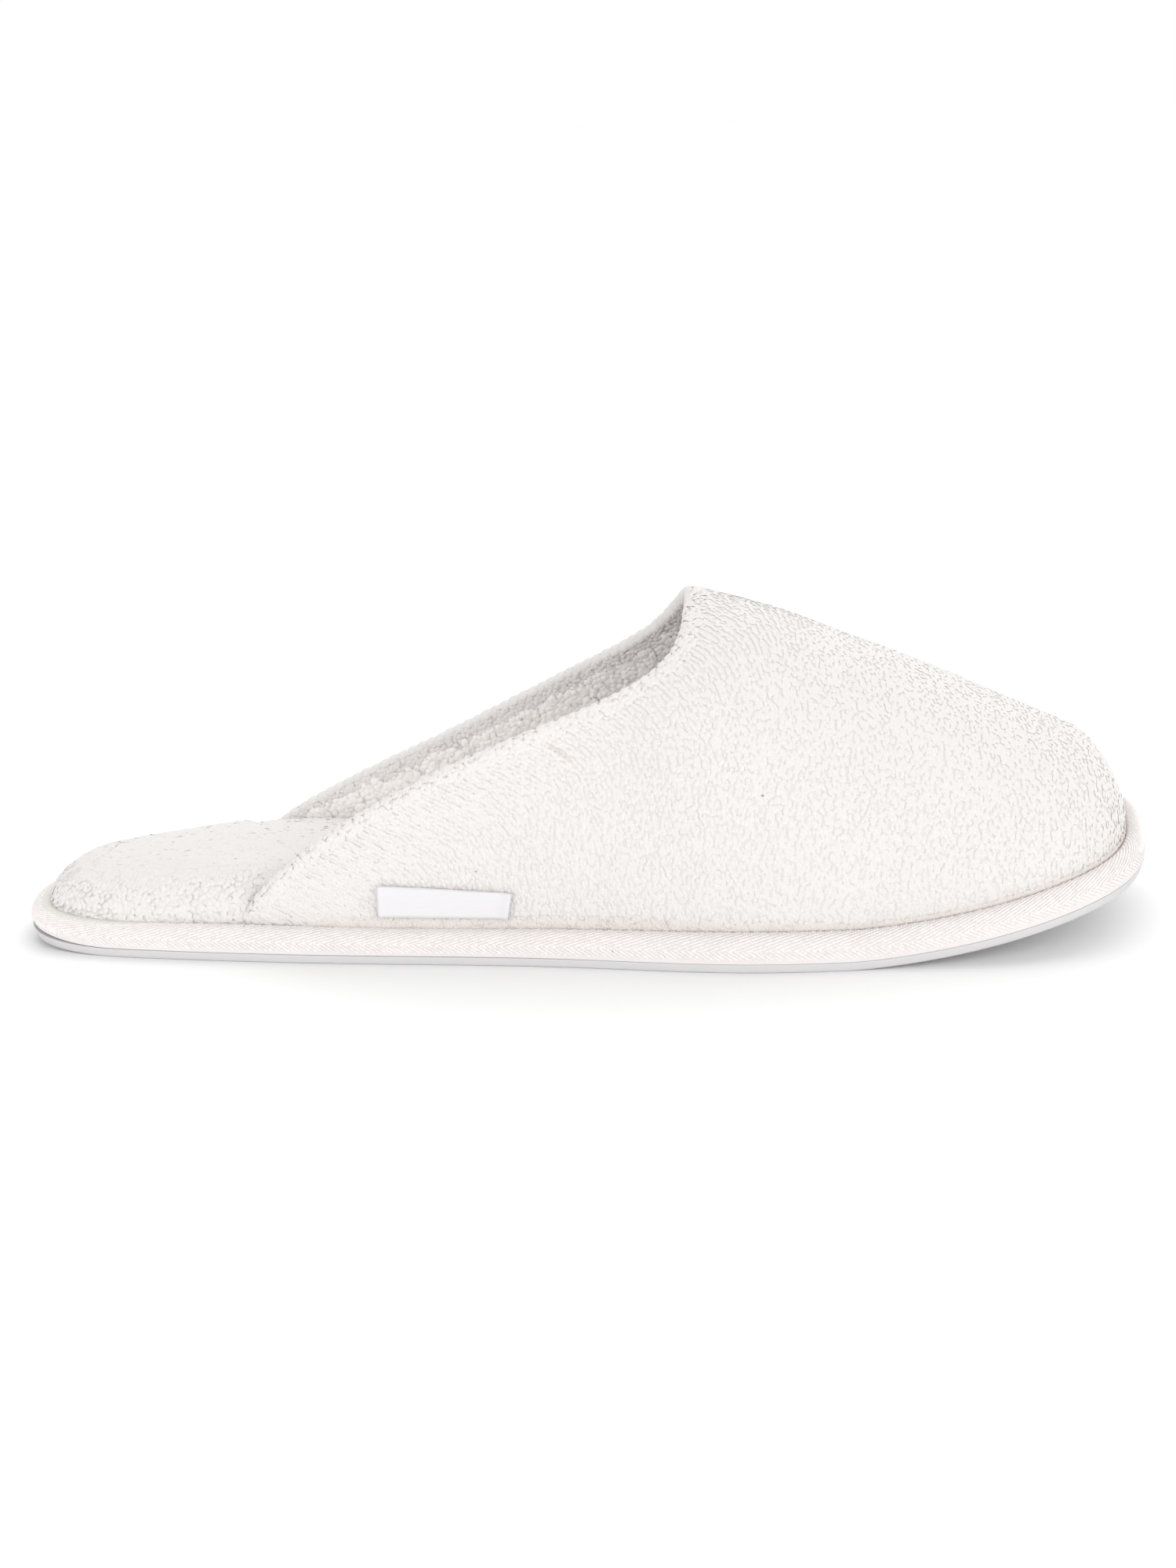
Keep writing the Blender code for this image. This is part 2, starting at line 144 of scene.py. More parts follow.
# The collar's edge. up: share of the way round a section, lateral and medial: share of LENGTH
COLLAR = (
    (0.00, 0.213, 0.178),
    (0.05, 0.240, 0.213),
    (0.10, 0.274, 0.264),
    (0.15, 0.313, 0.318),
    (0.20, 0.355, 0.367),
    (0.25, 0.394, 0.407),
    (0.30, 0.432, 0.441),
    (0.40, 0.498, 0.498),
    (0.50, 0.547, 0.540),
    (0.60, 0.583, 0.570),
    (0.70, 0.599, 0.588),
    (0.85, 0.605, 0.601),
    (1.00, 0.606, 0.606),
)

# The insole pad. along: share of LENGTH, thickness: share of PAD_THICKNESS, shoulder: share of BALL_WIDTH,
# fullness: how square the shoulder is
PAD = (
    (0.000, 0.90, 0.150, 1.7),
    (0.080, 0.96, 0.150, 1.7),
    (0.160, 1.02, 0.120, 2.0),
    (0.230, 1.02, 0.090, 2.5),
    (0.300, 0.92, 0.085, 2.5),
    (0.450, 0.70, 0.085, 2.4),
    (0.650, 0.54, 0.085, 2.2),
    (1.000, 0.46, 0.085, 2.0),
)
PAD_CROWN = 0.11
PAD_FOOT_UP = 0.06
PAD_NECK = 0.006
PAD_PRESS = 2.6
LABEL_ALONG = 0.391

# The camera of the photograph, in degrees, millimetres and pixels of the 1500 x 2000 frame
CAMERA_ELEVATION = 14.2266
CAMERA_TURN = -4.3422
CAMERA_ROLL = 2.3802
CAMERA_DISTANCE = 617.54
CAMERA_TARGET = (0.0, 0.0, 30.0)
FOCAL_PIXELS = 3369.85
PRINCIPAL_POINT = (740.0, 1007.69)
PHOTO_SIZE = (1500, 2000)
SENSOR = 36.0


def spline(knots, values, at, closed=False):
    """The smooth cubic through values at knots. A closed one repeats its first value at its last knot."""
    knots, values = np.asarray(knots, float), np.asarray(values, float)
    flat = values.ndim == 1
    if flat:
        values = values[:, None]
    last = len(knots) - 1
    span = np.diff(knots)
    slope = np.diff(values, axis=0) / span[:, None]
    matrix = np.eye(last + 1)
    right = np.zeros_like(values)
    for i in range(1, last):
        matrix[i, i - 1 : i + 2] = span[i - 1], 2 * (span[i - 1] + span[i]), span[i]
        right[i] = 6 * (slope[i] - slope[i - 1])
    if closed:
        matrix[0, [0, 1, last - 1]] = 2 * (span[-1] + span[0]), span[0], span[-1]
        right[0] = 6 * (slope[0] - slope[-1])
        matrix[last, 0] = -1
    bend = np.linalg.solve(matrix, right)
    at = np.asarray(at, float)
    i = np.clip(np.searchsorted(knots, at, "right") - 1, 0, last - 1)
    a = ((knots[i + 1] - at) / span[i])[..., None]
    b = ((at - knots[i]) / span[i])[..., None]
    cubic = ((a**3 - a) * bend[i] + (b**3 - b) * bend[i + 1]) * (span[i] ** 2)[..., None] / 6
    found = a * values[i] + b * values[i + 1] + cubic
    return found[..., 0] if flat else found


def column(table, number, along):
    """That column of a table of sections, read smoothly at these shares of LENGTH."""
    rows = np.array(table)
    return spline(rows[:, 0], rows[:, number], np.clip(along, rows[0, 0], rows[-1, 0]))


def ease(start, end, at):
    """0 before start, 1 after end, and smooth between."""
    t = np.clip((at - start) / (end - start), 0, 1)
    return t * t * (3 - 2 * t)


def along_of(x):
    """The share of LENGTH from the heel at x."""
    return x / LENGTH + 0.5


def lift(x, height=0.0):
    """How far a point of the sole at x stands up from its place on a flat one."""
    share, height = along_of(np.asarray(x, float)), np.asarray(height, float)
    heel = np.clip(1 - share / HEEL_BREAK, 0, None) ** 2
    toe = np.clip((share - TOE_BREAK) / (1 - TOE_BREAK), 0, None) ** TOE_SPRING_CURVE
    within = np.clip((BINDING_TOP - height) / BOUND_EDGE_HEIGHT, 0, 1)
    parting = np.where(height > OUTSOLE_THICKNESS, HEEL_PARTING * within, 0)
    return (HEEL_SPRING + parting) * heel + TOE_SPRING * toe


def unit(vectors):
    """The same directions at length 1."""
    return vectors / np.linalg.norm(vectors, axis=-1, keepdims=True)


def run_along(points):
    """The length run so far at each of these points."""
    return np.concatenate([[0], np.cumsum(np.linalg.norm(np.diff(points, axis=0), axis=1))])


OUTLINE_SAMPLES = 48


def dense_outline():
    """The outline's points and outward directions, from the heel round."""
    shares = np.array(OUTLINE + OUTLINE[:1]) * (LENGTH, BALL_WIDTH)
    knots = np.concatenate([[0], np.cumsum(np.hypot(*np.diff(shares, axis=0).T))])
    at = np.linspace(0, knots[-1], OUTLINE_SAMPLES * len(OUTLINE), endpoint=False)
    points = spline(knots, shares, at, closed=True)
    low, high = points.min(0), points.max(0)
    points = (points - (low + high) / 2) / (high - low) * (LENGTH, BALL_WIDTH)
    forward = np.roll(points, -1, 0) - np.roll(points, 1, 0)
    outward = np.stack([forward[:, 1], -forward[:, 0]], 1)
    outward = unit(outward) * -np.sign(forward[0, 1])
    heel = points[:, 0].argmin()
    return np.roll(points, -heel, 0), np.roll(outward, -heel, 0)


EDGE, OUTWARD = dense_outline()
TOE = EDGE[:, 0].argmax()
EDGE_RUN = np.concatenate([[0], np.cumsum(np.hypot(*(np.roll(EDGE, -1, 0) - EDGE).T))])
EDGE_LENGTH = EDGE_RUN[-1]
TOE_RUN = EDGE_RUN[TOE]


def edge_at(run):
    """Points and outward directions of the outline at that length from the heel, once round."""
    run = np.asarray(run, float) % EDGE_LENGTH
    table = np.hstack([EDGE, OUTWARD])
    table = np.vstack([table, table[:1]])
    found = np.stack([np.interp(run, EDGE_RUN, table[:, c]) for c in range(4)], -1)
    return found[..., :2], unit(found[..., 2:])


def edge_point(run, setback, height, with_sheet=False):
    """The point that far inside the outline and that far above the tread, following the sole's lift."""
    point, outward = edge_at(run)
    flat = point - outward * np.asarray(setback, float)[..., None]
    carried = np.minimum(height, OUTSOLE_THICKNESS) if with_sheet else np.maximum(height, BINDING_BOTTOM)
    return np.concatenate([flat, (lift(flat[..., 0], carried) + height)[..., None]], -1)


def side_line(setback, medial):
    """A side of the outline, taken in by setback, as x and y from heel to toe."""
    line = EDGE - OUTWARD * setback
    line = np.concatenate([line[TOE:], line[:1]])[::-1] if medial else line[: TOE + 1]
    return line[:, 0], line[:, 1]


BASE = [side_line(UPPER_SETBACK, medial) for medial in (False, True)]
NOSE_X = BASE[0][0][-1]
NOSE_Y = BASE[0][1][-1]


def ridge_height(x):
    """The upper's height above the seat at x: the ridge's line, rounded down over the toe's nose."""
    rounding = np.clip((NOSE_X - x) / TOE_NOSE, 0, 1)
    return THROAT_HEIGHT * column(RIDGE, 1, along_of(x)) * np.sqrt(1 - (1 - rounding) ** 2)


def upper_point(x, round_share):
    """A point of the upper's outside. round_share runs from -1, the lateral seat, over 0, the ridge, to 1."""
    x, round_share = np.broadcast_arrays(np.asarray(x, float), np.asarray(round_share, float))
    lateral, medial = (np.interp(x, *base) for base in BASE)
    middle = (lateral + medial) / 2 + BALL_WIDTH * column(RIDGE, 2, along_of(x))
    middle = np.where(x >= NOSE_X, NOSE_Y, np.clip(middle, lateral, medial))
    angle = (1 - np.abs(round_share)) * math.pi / 2
    out = np.clip(np.cos(angle), 0, 1) ** (2 / SECTION_ROUNDNESS)
    up = np.clip(np.sin(angle), 0, 1) ** (2 / SECTION_ROUNDNESS)
    y = middle + np.where(round_share < 0, lateral - middle, medial - middle) * out
    return np.stack([x, y, SEAT + lift(x) + ridge_height(x) * up], -1)


def upper_outward(x, round_share, step=0.02, share_step=0.001):
    """The outward direction of the upper there, from points that far to each side."""
    forward = upper_point(np.minimum(x + step, NOSE_X), round_share) - upper_point(x - step, round_share)
    low = np.maximum(round_share - share_step, -1)
    high = np.minimum(round_share + share_step, 1)
    return unit(np.cross(forward, upper_point(x, high) - upper_point(x, low)))


def collar_x(round_share):
    """Where the collar's edge lies on the row of that share."""
    rows = np.array(COLLAR)
    up = 1 - np.abs(round_share)
    lateral, medial = spline(rows[:, 0], rows[:, 1], up), spline(rows[:, 0], rows[:, 2], up)
    return (np.where(round_share < 0, lateral, medial) - 0.5) * LENGTH


# Shader and geometry nodes


class Socket:
    """An output of a node. Sums, differences and products of it add the Math nodes that work them out."""

    def __init__(self, tree, source):
        self.tree, self.source = tree, source

    def __add__(self, other):
        return self.tree.maths("ADD", self, other)

    def __sub__(self, other):
        return self.tree.maths("SUBTRACT", self, other)

    def __rsub__(self, other):
        return self.tree.maths("SUBTRACT", other, self)

    def __mul__(self, other):
        return self.tree.maths("MULTIPLY", self, other)

    __radd__, __rmul__ = __add__, __mul__


class Tree:
    """A node tree, in which one call adds a node with its settings and inputs."""

    def __init__(self, nodes):
        self.nodes = nodes

    def feed(self, socket, value):
        """Links or sets one input."""
        if isinstance(value, Socket):
            self.nodes.links.new(value.source, socket)
        else:
            socket.default_value = value

    def node(self, kind, inputs=(), output=0, **settings):
        """Adds a node. inputs maps a socket's name or number to a value, and output picks what comes back."""
        made = self.nodes.nodes.new(kind)
        for name, value in settings.items():
            setattr(made, name, value)
        for name, value in dict(inputs).items():
            self.feed(made.inputs[name], value)
        return Socket(self, made.outputs[output])

    def maths(self, operation, one, other):
        """The sum, difference or product of two numbers."""
        return self.node("ShaderNodeMath", {0: one, 1: other}, operation=operation)


class Paint(Tree):
    """A material's nodes, with the patterns that the slipper's cloths share."""

    def __init__(self, name, **constants):
        self.material = bpy.data.materials.new(name)
        self.material.use_nodes = True
        super().__init__(self.material.node_tree)
        self.shader = self.nodes.nodes["Principled BSDF"]
        for socket, value in constants.items():
            self.shader.inputs[socket.replace("_", " ")].default_value = value

    def here(self):
        """The place on the piece, in millimetres."""
        place = self.node("ShaderNodeTexCoord", output="Object")
        return self.node("ShaderNodeVectorMath", {0: place, "Scale": 1 / MM}, operation="SCALE")

    def tuft_tint(self):
        """The shade that each tuft was given, from 0 to 1."""
        return self.node("ShaderNodeAttribute", output="Fac", attribute_name="tint")

    def noise(self, place, size, detail=2.0, roughness=0.5):
        """Soft mottling from 0 to 1, with patches about that many millimetres across."""
        inputs = {"Vector": place, "Scale": 1 / size, "Detail": detail, "Roughness": roughness}
        return self.node("ShaderNodeTexNoise", inputs)

    def between(self, share, low, high):
        """0 where share is low or less, 1 where it is high or more."""
        inputs = {"Value": share, "From Min": low, "From Max": high}
        return self.node("ShaderNodeMapRange", inputs, interpolation_type="SMOOTHSTEP")

    def blend(self, share, one, other):
        """One colour where share is 0 and the other where it is 1."""
        colours = {"A": one, "B": other}
        made = self.nodes.nodes.new("ShaderNodeMix")
        made.data_type = "RGBA"
        self.feed(made.inputs[0], share)
        for socket in made.inputs:
            if socket.type == "RGBA":
                self.feed(socket, colours[socket.name])
        return Socket(self, next(s for s in made.outputs if s.type == "RGBA"))

    def bump(self, height, distance, strength=1.0):
        """Relief of that many millimetres at height 1."""
        inputs = {"Height": height, "Distance": distance * MM, "Strength": strength}
        self.feed(self.shader.inputs["Normal"], self.node("ShaderNodeBump", inputs, output="Normal"))

    def colour(self, value):
        """Sets or links the base colour."""
        self.feed(self.shader.inputs["Base Color"], value)

    def roughness(self, value):
        """Sets or links the roughness."""
        self.feed(self.shader.inputs["Roughness"], value)

    def marked(self, found, place, colour, marks):
        """The found colour with small marks at these places, darker and warmer than the cloth's colour."""
        # Single marks are specks; a row of them paints the shade of a small crease
        for centre, radius, level in marks:
            inputs = {0: place, 1: centre}
            gap = self.node("ShaderNodeVectorMath", inputs, output="Value", operation="DISTANCE")
            dark = [part * level * warm for part, warm in zip(colour, MARK_WARMTH)]
            found = self.blend(1 - self.between(gap, radius * MARK_CORE, radius), found, shade(dark))
        return found


def shade(value, level=1.0):
    """That colour, that much lighter or darker, with an alpha of 1."""
    return (*(v * level for v in value), 1)


# A mark's red, green and blue against the cloth's, and the share of its radius that is darkest
MARK_WARMTH = (1.0, 0.95, 0.93)
MARK_CORE = 0.4

TERRY_COLOUR = (0.752, 0.730, 0.713)
# The lining is set much lighter than the outer terry: painted light for the shaded inside of the throat
LINING_COLOUR_LIGHTENED = (0.915, 0.880, 0.861)
STRIP_COLOUR = (0.745, 0.694, 0.657)
TAPE_COLOUR = (0.842, 0.806, 0.792)
SHEET_COLOUR = (0.62, 0.611, 0.619)
SHEET_SCUFF = (0.58, 0.57, 0.566)
SATIN_COLOUR = (0.74, 0.73, 0.745)
SATIN_CROWN_HIGHLIGHT = (0.78, 0.77, 0.785)
FOAM_COLOUR = (0.80, 0.78, 0.74)
FOAM_CELL_EDGE = (0.70, 0.68, 0.64)
FLOOR_COLOUR = (0.955, 0.955, 0.955)
FLOOR_PATCH = (0.965, 0.965, 0.965)


def terry(name, colour, grain, marks=()):
    """Looped pile: soft mottling, a tint for each tuft, fibres in the bump, and a few small marks."""
    paint = Paint(name, Sheen_Weight=0.15, Sheen_Roughness=0.6, Specular_IOR_Level=0.2)
    place = paint.here()
    tint = paint.tuft_tint()
    patches = paint.noise(place, 22.0)
    fibres = paint.noise(place, grain, 3.0, 0.6)
    level = patches * 0.35 + tint * 0.3 + fibres * 0.35
    found = paint.blend(paint.between(level, 0.25, 0.75), shade(colour, 0.98), shade(colour, 1.015))
    # The marks are specks, and a row of them is painted shade of a small crease
    paint.colour(paint.marked(found, place, colour, marks))
    paint.roughness(0.88 + fibres * 0.12)
    paint.bump(fibres, 0.1, 0.6)
    return paint.material


def herringbone(marks):
    """Cotton tape: warm yarn, paler crowns, and painted shade darkening the grooves between its slanting
    rows.
    """
    paint = Paint("herringbone_tape", Sheen_Weight=0.1, Specular_IOR_Level=0.3)
    place = paint.here()
    tint = paint.tuft_tint()
    patches = paint.noise(place, 15.0)
    fibres = paint.noise(place, 0.22, 3.0, 0.6)
    level = patches * 0.3 + tint * 0.5 + fibres * 0.2
    # The bare tape between the floats has no tint and so takes the darker colour: painted shade in the
    # grooves
    found = paint.blend(paint.between(level, 0.1, 0.8), shade(TAPE_COLOUR, 0.90), shade(TAPE_COLOUR, 1.05))
    paint.colour(paint.marked(found, place, TAPE_COLOUR, marks))
    paint.roughness(0.8 + fibres * 0.15)
    paint.bump(fibres, 0.08, 0.6)
    return paint.material


def backing():
    """The cloth's woven backing, which shows peach where the pile ends at the seam."""
    paint = Paint("woven_backing", Sheen_Weight=0.1, Specular_IOR_Level=0.2)
    place = paint.here()
    weave = paint.noise(place, 0.4, 2.0)
    patches = paint.noise(place, 6.0)
    found = paint.blend(patches, shade(STRIP_COLOUR, 0.94), shade(STRIP_COLOUR, 1.08))
    paint.colour(paint.blend(weave * 0.35, found, shade(TERRY_COLOUR)))
    paint.roughness(0.85 + weave * 0.1)
    paint.bump(weave, 0.15, 0.7)
    return paint.material


def sheet_rubber():
    """The tread sheet: cool white, nearly smooth, with a fine pebble and faint scuffs."""
    paint = Paint("tread_sheet", Specular_IOR_Level=0.45)
    place = paint.here()
    pebble = paint.noise(place, 0.9, 2.0)
    scuffs = paint.between(paint.noise(place, 9.0, 5.0, 0.7), 0.58, 0.72)
    paint.colour(paint.blend(scuffs * 0.25, shade(SHEET_COLOUR), shade(SHEET_SCUFF)))
    paint.roughness(0.42 + scuffs * 0.2 + pebble * 0.08)
    paint.bump(pebble, 0.05, 0.5)
    return paint.material


def satin():
    """The tab's cloth: bright white, fine ribs along it, their crowns lighter as a painted highlight."""
    paint = Paint("satin_tab", Specular_IOR_Level=0.5, Sheen_Weight=0.1)
    place = paint.here()
    ribs = paint.node("ShaderNodeTexWave", {"Vector": place, "Scale": 1.1}, bands_direction="Z", output="Fac")
    fibres = paint.noise(place, 0.3, 2.0)
    # Lighter where the ribs stand up: a painted highlight on their crowns
    paint.colour(paint.blend(ribs * 0.3 + fibres * 0.3, shade(SATIN_COLOUR), shade(SATIN_CROWN_HIGHLIGHT)))
    paint.roughness(0.38 + fibres * 0.15)
    paint.bump(ribs * 0.7 + fibres * 0.3, 0.06, 0.6)
    return paint.material


def foam():
    """Closed-cell foam, hidden inside the bound edge."""
    paint = Paint("core_foam", Specular_IOR_Level=0.3)
    inputs = {"Vector": paint.here(), "Scale": 1.4}
    cells = paint.node("ShaderNodeTexVoronoi", inputs, output="Distance")
    paint.colour(paint.blend(cells, shade(FOAM_COLOUR), shade(FOAM_CELL_EDGE)))
    paint.roughness(0.85 + cells * 0.1)
    paint.bump(cells, 0.2, 0.5)
    return paint.material


# Meshes


def add_object(name, data):
    """A new object of this mesh, lamp or camera, in the scene."""
    made = bpy.data.objects.new(name, data)
    bpy.context.scene.collection.objects.link(made)
    return made


def make_object(name, mesh_data, material):
    """Makes the object of a mesh in millimetres, with its faces outwards and smooth."""
    bmesh.ops.remove_doubles(mesh_data, verts=mesh_data.verts, dist=1e-4)
    bmesh.ops.recalc_face_normals(mesh_data, faces=mesh_data.faces)
    bmesh.ops.scale(mesh_data, vec=(MM, MM, MM), verts=mesh_data.verts)
    mesh = bpy.data.meshes.new(name)
    mesh_data.to_mesh(mesh)
    mesh_data.free()
    mesh.shade_smooth()
    mesh.materials.append(material)
    return add_object(name, mesh)


def add_points(mesh_data, points):
    """Adds points to the mesh and returns its vertices for them."""
    return [mesh_data.verts.new(p) for p in points]


def bridge(mesh_data, one, other, closed=True):
    """Faces between two rows of vertices."""
    count = len(one)
    for i in range(count if closed else count - 1):
        j = (i + 1) % count
        mesh_data.faces.new((one[i], one[j], other[j], other[i]))


SOLE_STATIONS = 150
CAP_COLUMNS = 26


def sole_runs():
    """Lengths round the outline to cut the sole's layers at, lateral then medial, even on each side."""
    even = (1 - np.cos(np.linspace(0, math.pi, SOLE_STATIONS + 1))) / 2
    even = (even + np.linspace(0, 1, SOLE_STATIONS + 1)) / 2
    lateral = even * TOE_RUN
    medial = EDGE_LENGTH - even * (EDGE_LENGTH - TOE_RUN)
    return np.concatenate([lateral, medial[-2:0:-1]])


SOLE_RUNS = sole_runs()
SOLE_X = edge_at(SOLE_RUNS)[0][:, 0]


def cap(mesh_data, edge, height, crown=0.0, with_sheet=False):
    """Closes a ring of vertices at that height with rows from side to side, along the sole's lift."""
    height = min(height, OUTSOLE_THICKNESS) if with_sheet else height
    rows = [[edge[0]]]
    across = np.linspace(0, 1, CAP_COLUMNS + 1)[1:-1, None]
    for i in range(1, SOLE_STATIONS):
        ends = np.array([edge[i].co, edge[-i].co])
        inner = ends[0] + (ends[1] - ends[0]) * across
        above = ends[:, 2] - lift(ends[:, 0], height)
        level = above[0] + (above[1] - above[0]) * across[:, 0]
        width = min(1.0, np.ptp(ends[:, 1]) / BALL_WIDTH * 2)
        rise = crown * width * (1 - (2 * across[:, 0] - 1) ** 2)
        inner[:, 2] = level + lift(inner[:, 0], height) + rise
        rows.append([edge[i], *add_points(mesh_data, inner), edge[-i]])
    rows.append([edge[SOLE_STATIONS]])
    for tip, row in ((rows[0][0], rows[1]), (rows[-1][0], rows[-2])):
        for one, other in zip(row, row[1:]):
            mesh_data.faces.new((tip, one, other))
    for row, beyond in zip(rows[1:-1], rows[2:-1]):
        bridge(mesh_data, row, beyond, closed=False)


def layered(name, rings, material, crown=0.0, with_sheet=False):
    """A closed piece from rings of (setback, height), from under its middle round its edge to its top."""
    mesh_data = bmesh.new()
    rows = []
    for setback, height in rings:
        setback = np.broadcast_to(setback, len(SOLE_RUNS))
        rows.append(add_points(mesh_data, edge_point(SOLE_RUNS, setback, height, with_sheet)))
    for one, other in zip(rows, rows[1:]):
        bridge(mesh_data, one, other)
    cap(mesh_data, rows[0], np.min(rings[0][1]), 0.0, with_sheet)
    cap(mesh_data, rows[-1], np.min(rings[-1][1]), crown, with_sheet)
    return make_object(name, mesh_data, material)


# The sheet's top meets the tape's lower edge, where the frame leaves a gap. EDGE and FOOT: its setbacks at
# its top and foot, CRISP: how far its upper edge is eased
SHEET_TOP = 2.15
SHEET_EDGE = 0.25
SHEET_FOOT = 0.8
SHEET_CRISP = 0.12


def build_outsole():
    """The thin tread sheet, its side leaning in to an eased lower edge and crisp at the top."""
    turns = np.linspace(math.pi / 2, 0, 5)
    reach = OUTSOLE_EDGE_ROUND
    lower = [(SHEET_FOOT + reach * (1 - math.cos(t)), reach * (1 - math.sin(t))) for t in turns]
    eased = SHEET_CRISP * 0.3
    upper = [
        (SHEET_EDGE, SHEET_TOP - SHEET_CRISP),
        (SHEET_EDGE + eased, SHEET_TOP - eased),
        (SHEET_EDGE + SHEET_CRISP, SHEET_TOP),
    ]
    return layered("outsole_sheet", [*lower, *upper], sheet_rubber(), with_sheet=True)


# The bound edge


# How deep the tape's plain base lies under the tops of its floats, and how deep their middles lie
FLOAT_DEPTH = 0.28
FLOAT_SINK = 0.19
TAPE_FLAT_UNDER = 1.6
TAPE_LEAST_ROUND = 0.05
TAPE_CORNER_POINTS = 4
TAPE_SIDE_POINTS = 14


def tape_profile(inset):
    """The tape's section at that depth under its outside, as (setback, height) from below to above."""
    across, up = TAPE_SHOULDER_IN - inset, TAPE_SHOULDER_UP - inset
    centre = TAPE_SHOULDER_IN, BINDING_TOP - TAPE_SHOULDER_UP
    low = SHEET_TOP + max(inset - FLOAT_DEPTH, 0)
    reach = max(TAPE_LOWER_ROUND - inset, TAPE_LEAST_ROUND)
    corner = np.linspace(0, math.pi / 2, TAPE_CORNER_POINTS)
    turns = np.linspace(0, math.pi / 2, TAPE_SIDE_POINTS)
    under = [(TAPE_LEG, low), (inset + TAPE_FLAT_UNDER, low)]
    under += [(inset + reach * (1 - math.sin(t)), low + reach * (1 - math.cos(t))) for t in corner]
    side = [(centre[0] - across * math.cos(t), centre[1] + up * math.sin(t)) for t in turns]
    return np.array([*under, *side[1:], (TAPE_LEG, BINDING_TOP - inset)])


# The tape's twill. SPINE_UP: where its rows part, LOW and HIGH: where they end, as lengths round its section
TAPE_STATIONS = 460
SPINE_UP = 2.7
TWILL_ANGLES = (math.radians(21), math.radians(34))
TWILL_PITCH = 0.74
TWILL_STEP = 0.66
TWILL_LOW = 0.25
TWILL_HIGH = 8.6

# How tall the tape stands, which is pressed down more towards the heel. along: share of LENGTH,
# tall: share of BOUND_EDGE_HEIGHT
TAPE_CREST = (
    (0.00, 0.78),
    (0.08, 0.79),
    (0.16, 0.88),
    (0.25, 0.88),
    (0.33, 0.84),
    (0.45, 0.87),
    (0.62, 0.97),
    (0.80, 0.94),
    (1.00, 0.95),
)


def tape_point(run, setback, height):
    """A point of the tape, with its crest pressed down as the table says."""
    flat = edge_at(run)[0]
    share = column(TAPE_CREST, 1, along_of(flat[..., 0]))
    return edge_point(run, setback, BINDING_BOTTOM + (height - BINDING_BOTTOM) * share)


def tape_surface(run, up, run_step=0.2, up_step=0.15):
    """Places on the tape's outside, with their outward and lengthwise directions, from points a step to each
    side. up: length round its section, from the top of its lower corner."""
    profile = tape_profile(0.0)[1:]
    lengths = run_along(profile)
    lengths -= lengths[TAPE_CORNER_POINTS]

    def at(run, up):
        return tape_point(run, np.interp(up, lengths, profile[:, 0]), np.interp(up, lengths, profile[:, 1]))

    along = at(run + run_step, up) - at(run - run_step, up)
    around = at(run, up + up_step) - at(run, up - up_step)
    return at(run, up), unit(np.cross(along, around)), unit(along)


def twill_rows():
    """The tape's floats, in slanting rows that part from a spine along it: their run, up and slant."""
    runs, ups, slants = [], [], []
    for side, reach, angle in zip((1, -1), (TWILL_HIGH - SPINE_UP, SPINE_UP - TWILL_LOW), TWILL_ANGLES):
        count = round(EDGE_LENGTH * math.sin(angle) / TWILL_PITCH)
        steps = int(reach / (TWILL_STEP * math.sin(angle)))
        for row, start in enumerate(np.arange(count) * EDGE_LENGTH / count):
            number = np.arange(steps) + 0.5 * (row % 2)
            runs.append(start + number * TWILL_STEP * math.cos(angle))
            ups.append(SPINE_UP + side * number * TWILL_STEP * math.sin(angle))
            slants.append(np.full(steps, side * angle))
    return np.concatenate(runs), np.concatenate(ups), np.concatenate(slants)


def build_tape(material):
    """Herringbone tape folded round the sole's edge, with each float of its weave raised."""
    outer = tape_profile(FLOAT_DEPTH)
    inner = tape_profile(TAPE_THICKNESS)[::-1]
    runs = np.arange(TAPE_STATIONS) * EDGE_LENGTH / TAPE_STATIONS
    mesh_data = bmesh.new()
    rows = []
    for setback, height in np.concatenate([outer, inner]):
        rows.append(add_points(mesh_data, tape_point(runs, np.full(TAPE_STATIONS, setback), height)))
    for one, other in zip(rows, rows[1:] + rows[:1]):
        bridge(mesh_data, one, other)
    base = make_object("edge_tape", mesh_data, material)
    run, up, slant = twill_rows()
    place, outward, along = tape_surface(run, up)
    across = np.cross(outward, along)
    lying = along * np.cos(slant)[:, None] + across * np.sin(slant)[:, None]
    floats = scatter("tape_floats", place - outward * FLOAT_SINK, outward, lying)
    grow_tufts(base, floats, material, "float")
    return base


# Pile

# The swells along the collar's rolled edge, and how far they lie inside its crest
RIM_PITCH = 2.55
RIM_SWELL_IN = 0.6


def scatter(name, place, outward, lying, grow=1.0, calm=0.0):
    """Loose points, each with the direction that its tuft stands in and the one that it lies along.
    grow: the tuft's size, calm: 1 where tufts lie flat and even."""
    mesh = bpy.data.meshes.new(name)
    mesh.from_pydata((place * MM).tolist(), [], [])
    for key, value in (("grow", grow), ("calm", calm)):
        attribute = mesh.attributes.new(key, "FLOAT", "POINT")
        attribute.data.foreach_set("value", np.broadcast_to(value, len(place)).astype(np.float32))
    for key, value in (("stand", outward), ("lie", lying)):
        attribute = mesh.attributes.new(key, "FLOAT_VECTOR", "POINT")
        attribute.data.foreach_set("vector", value.astype(np.float32).ravel())
    return add_object(name, mesh)


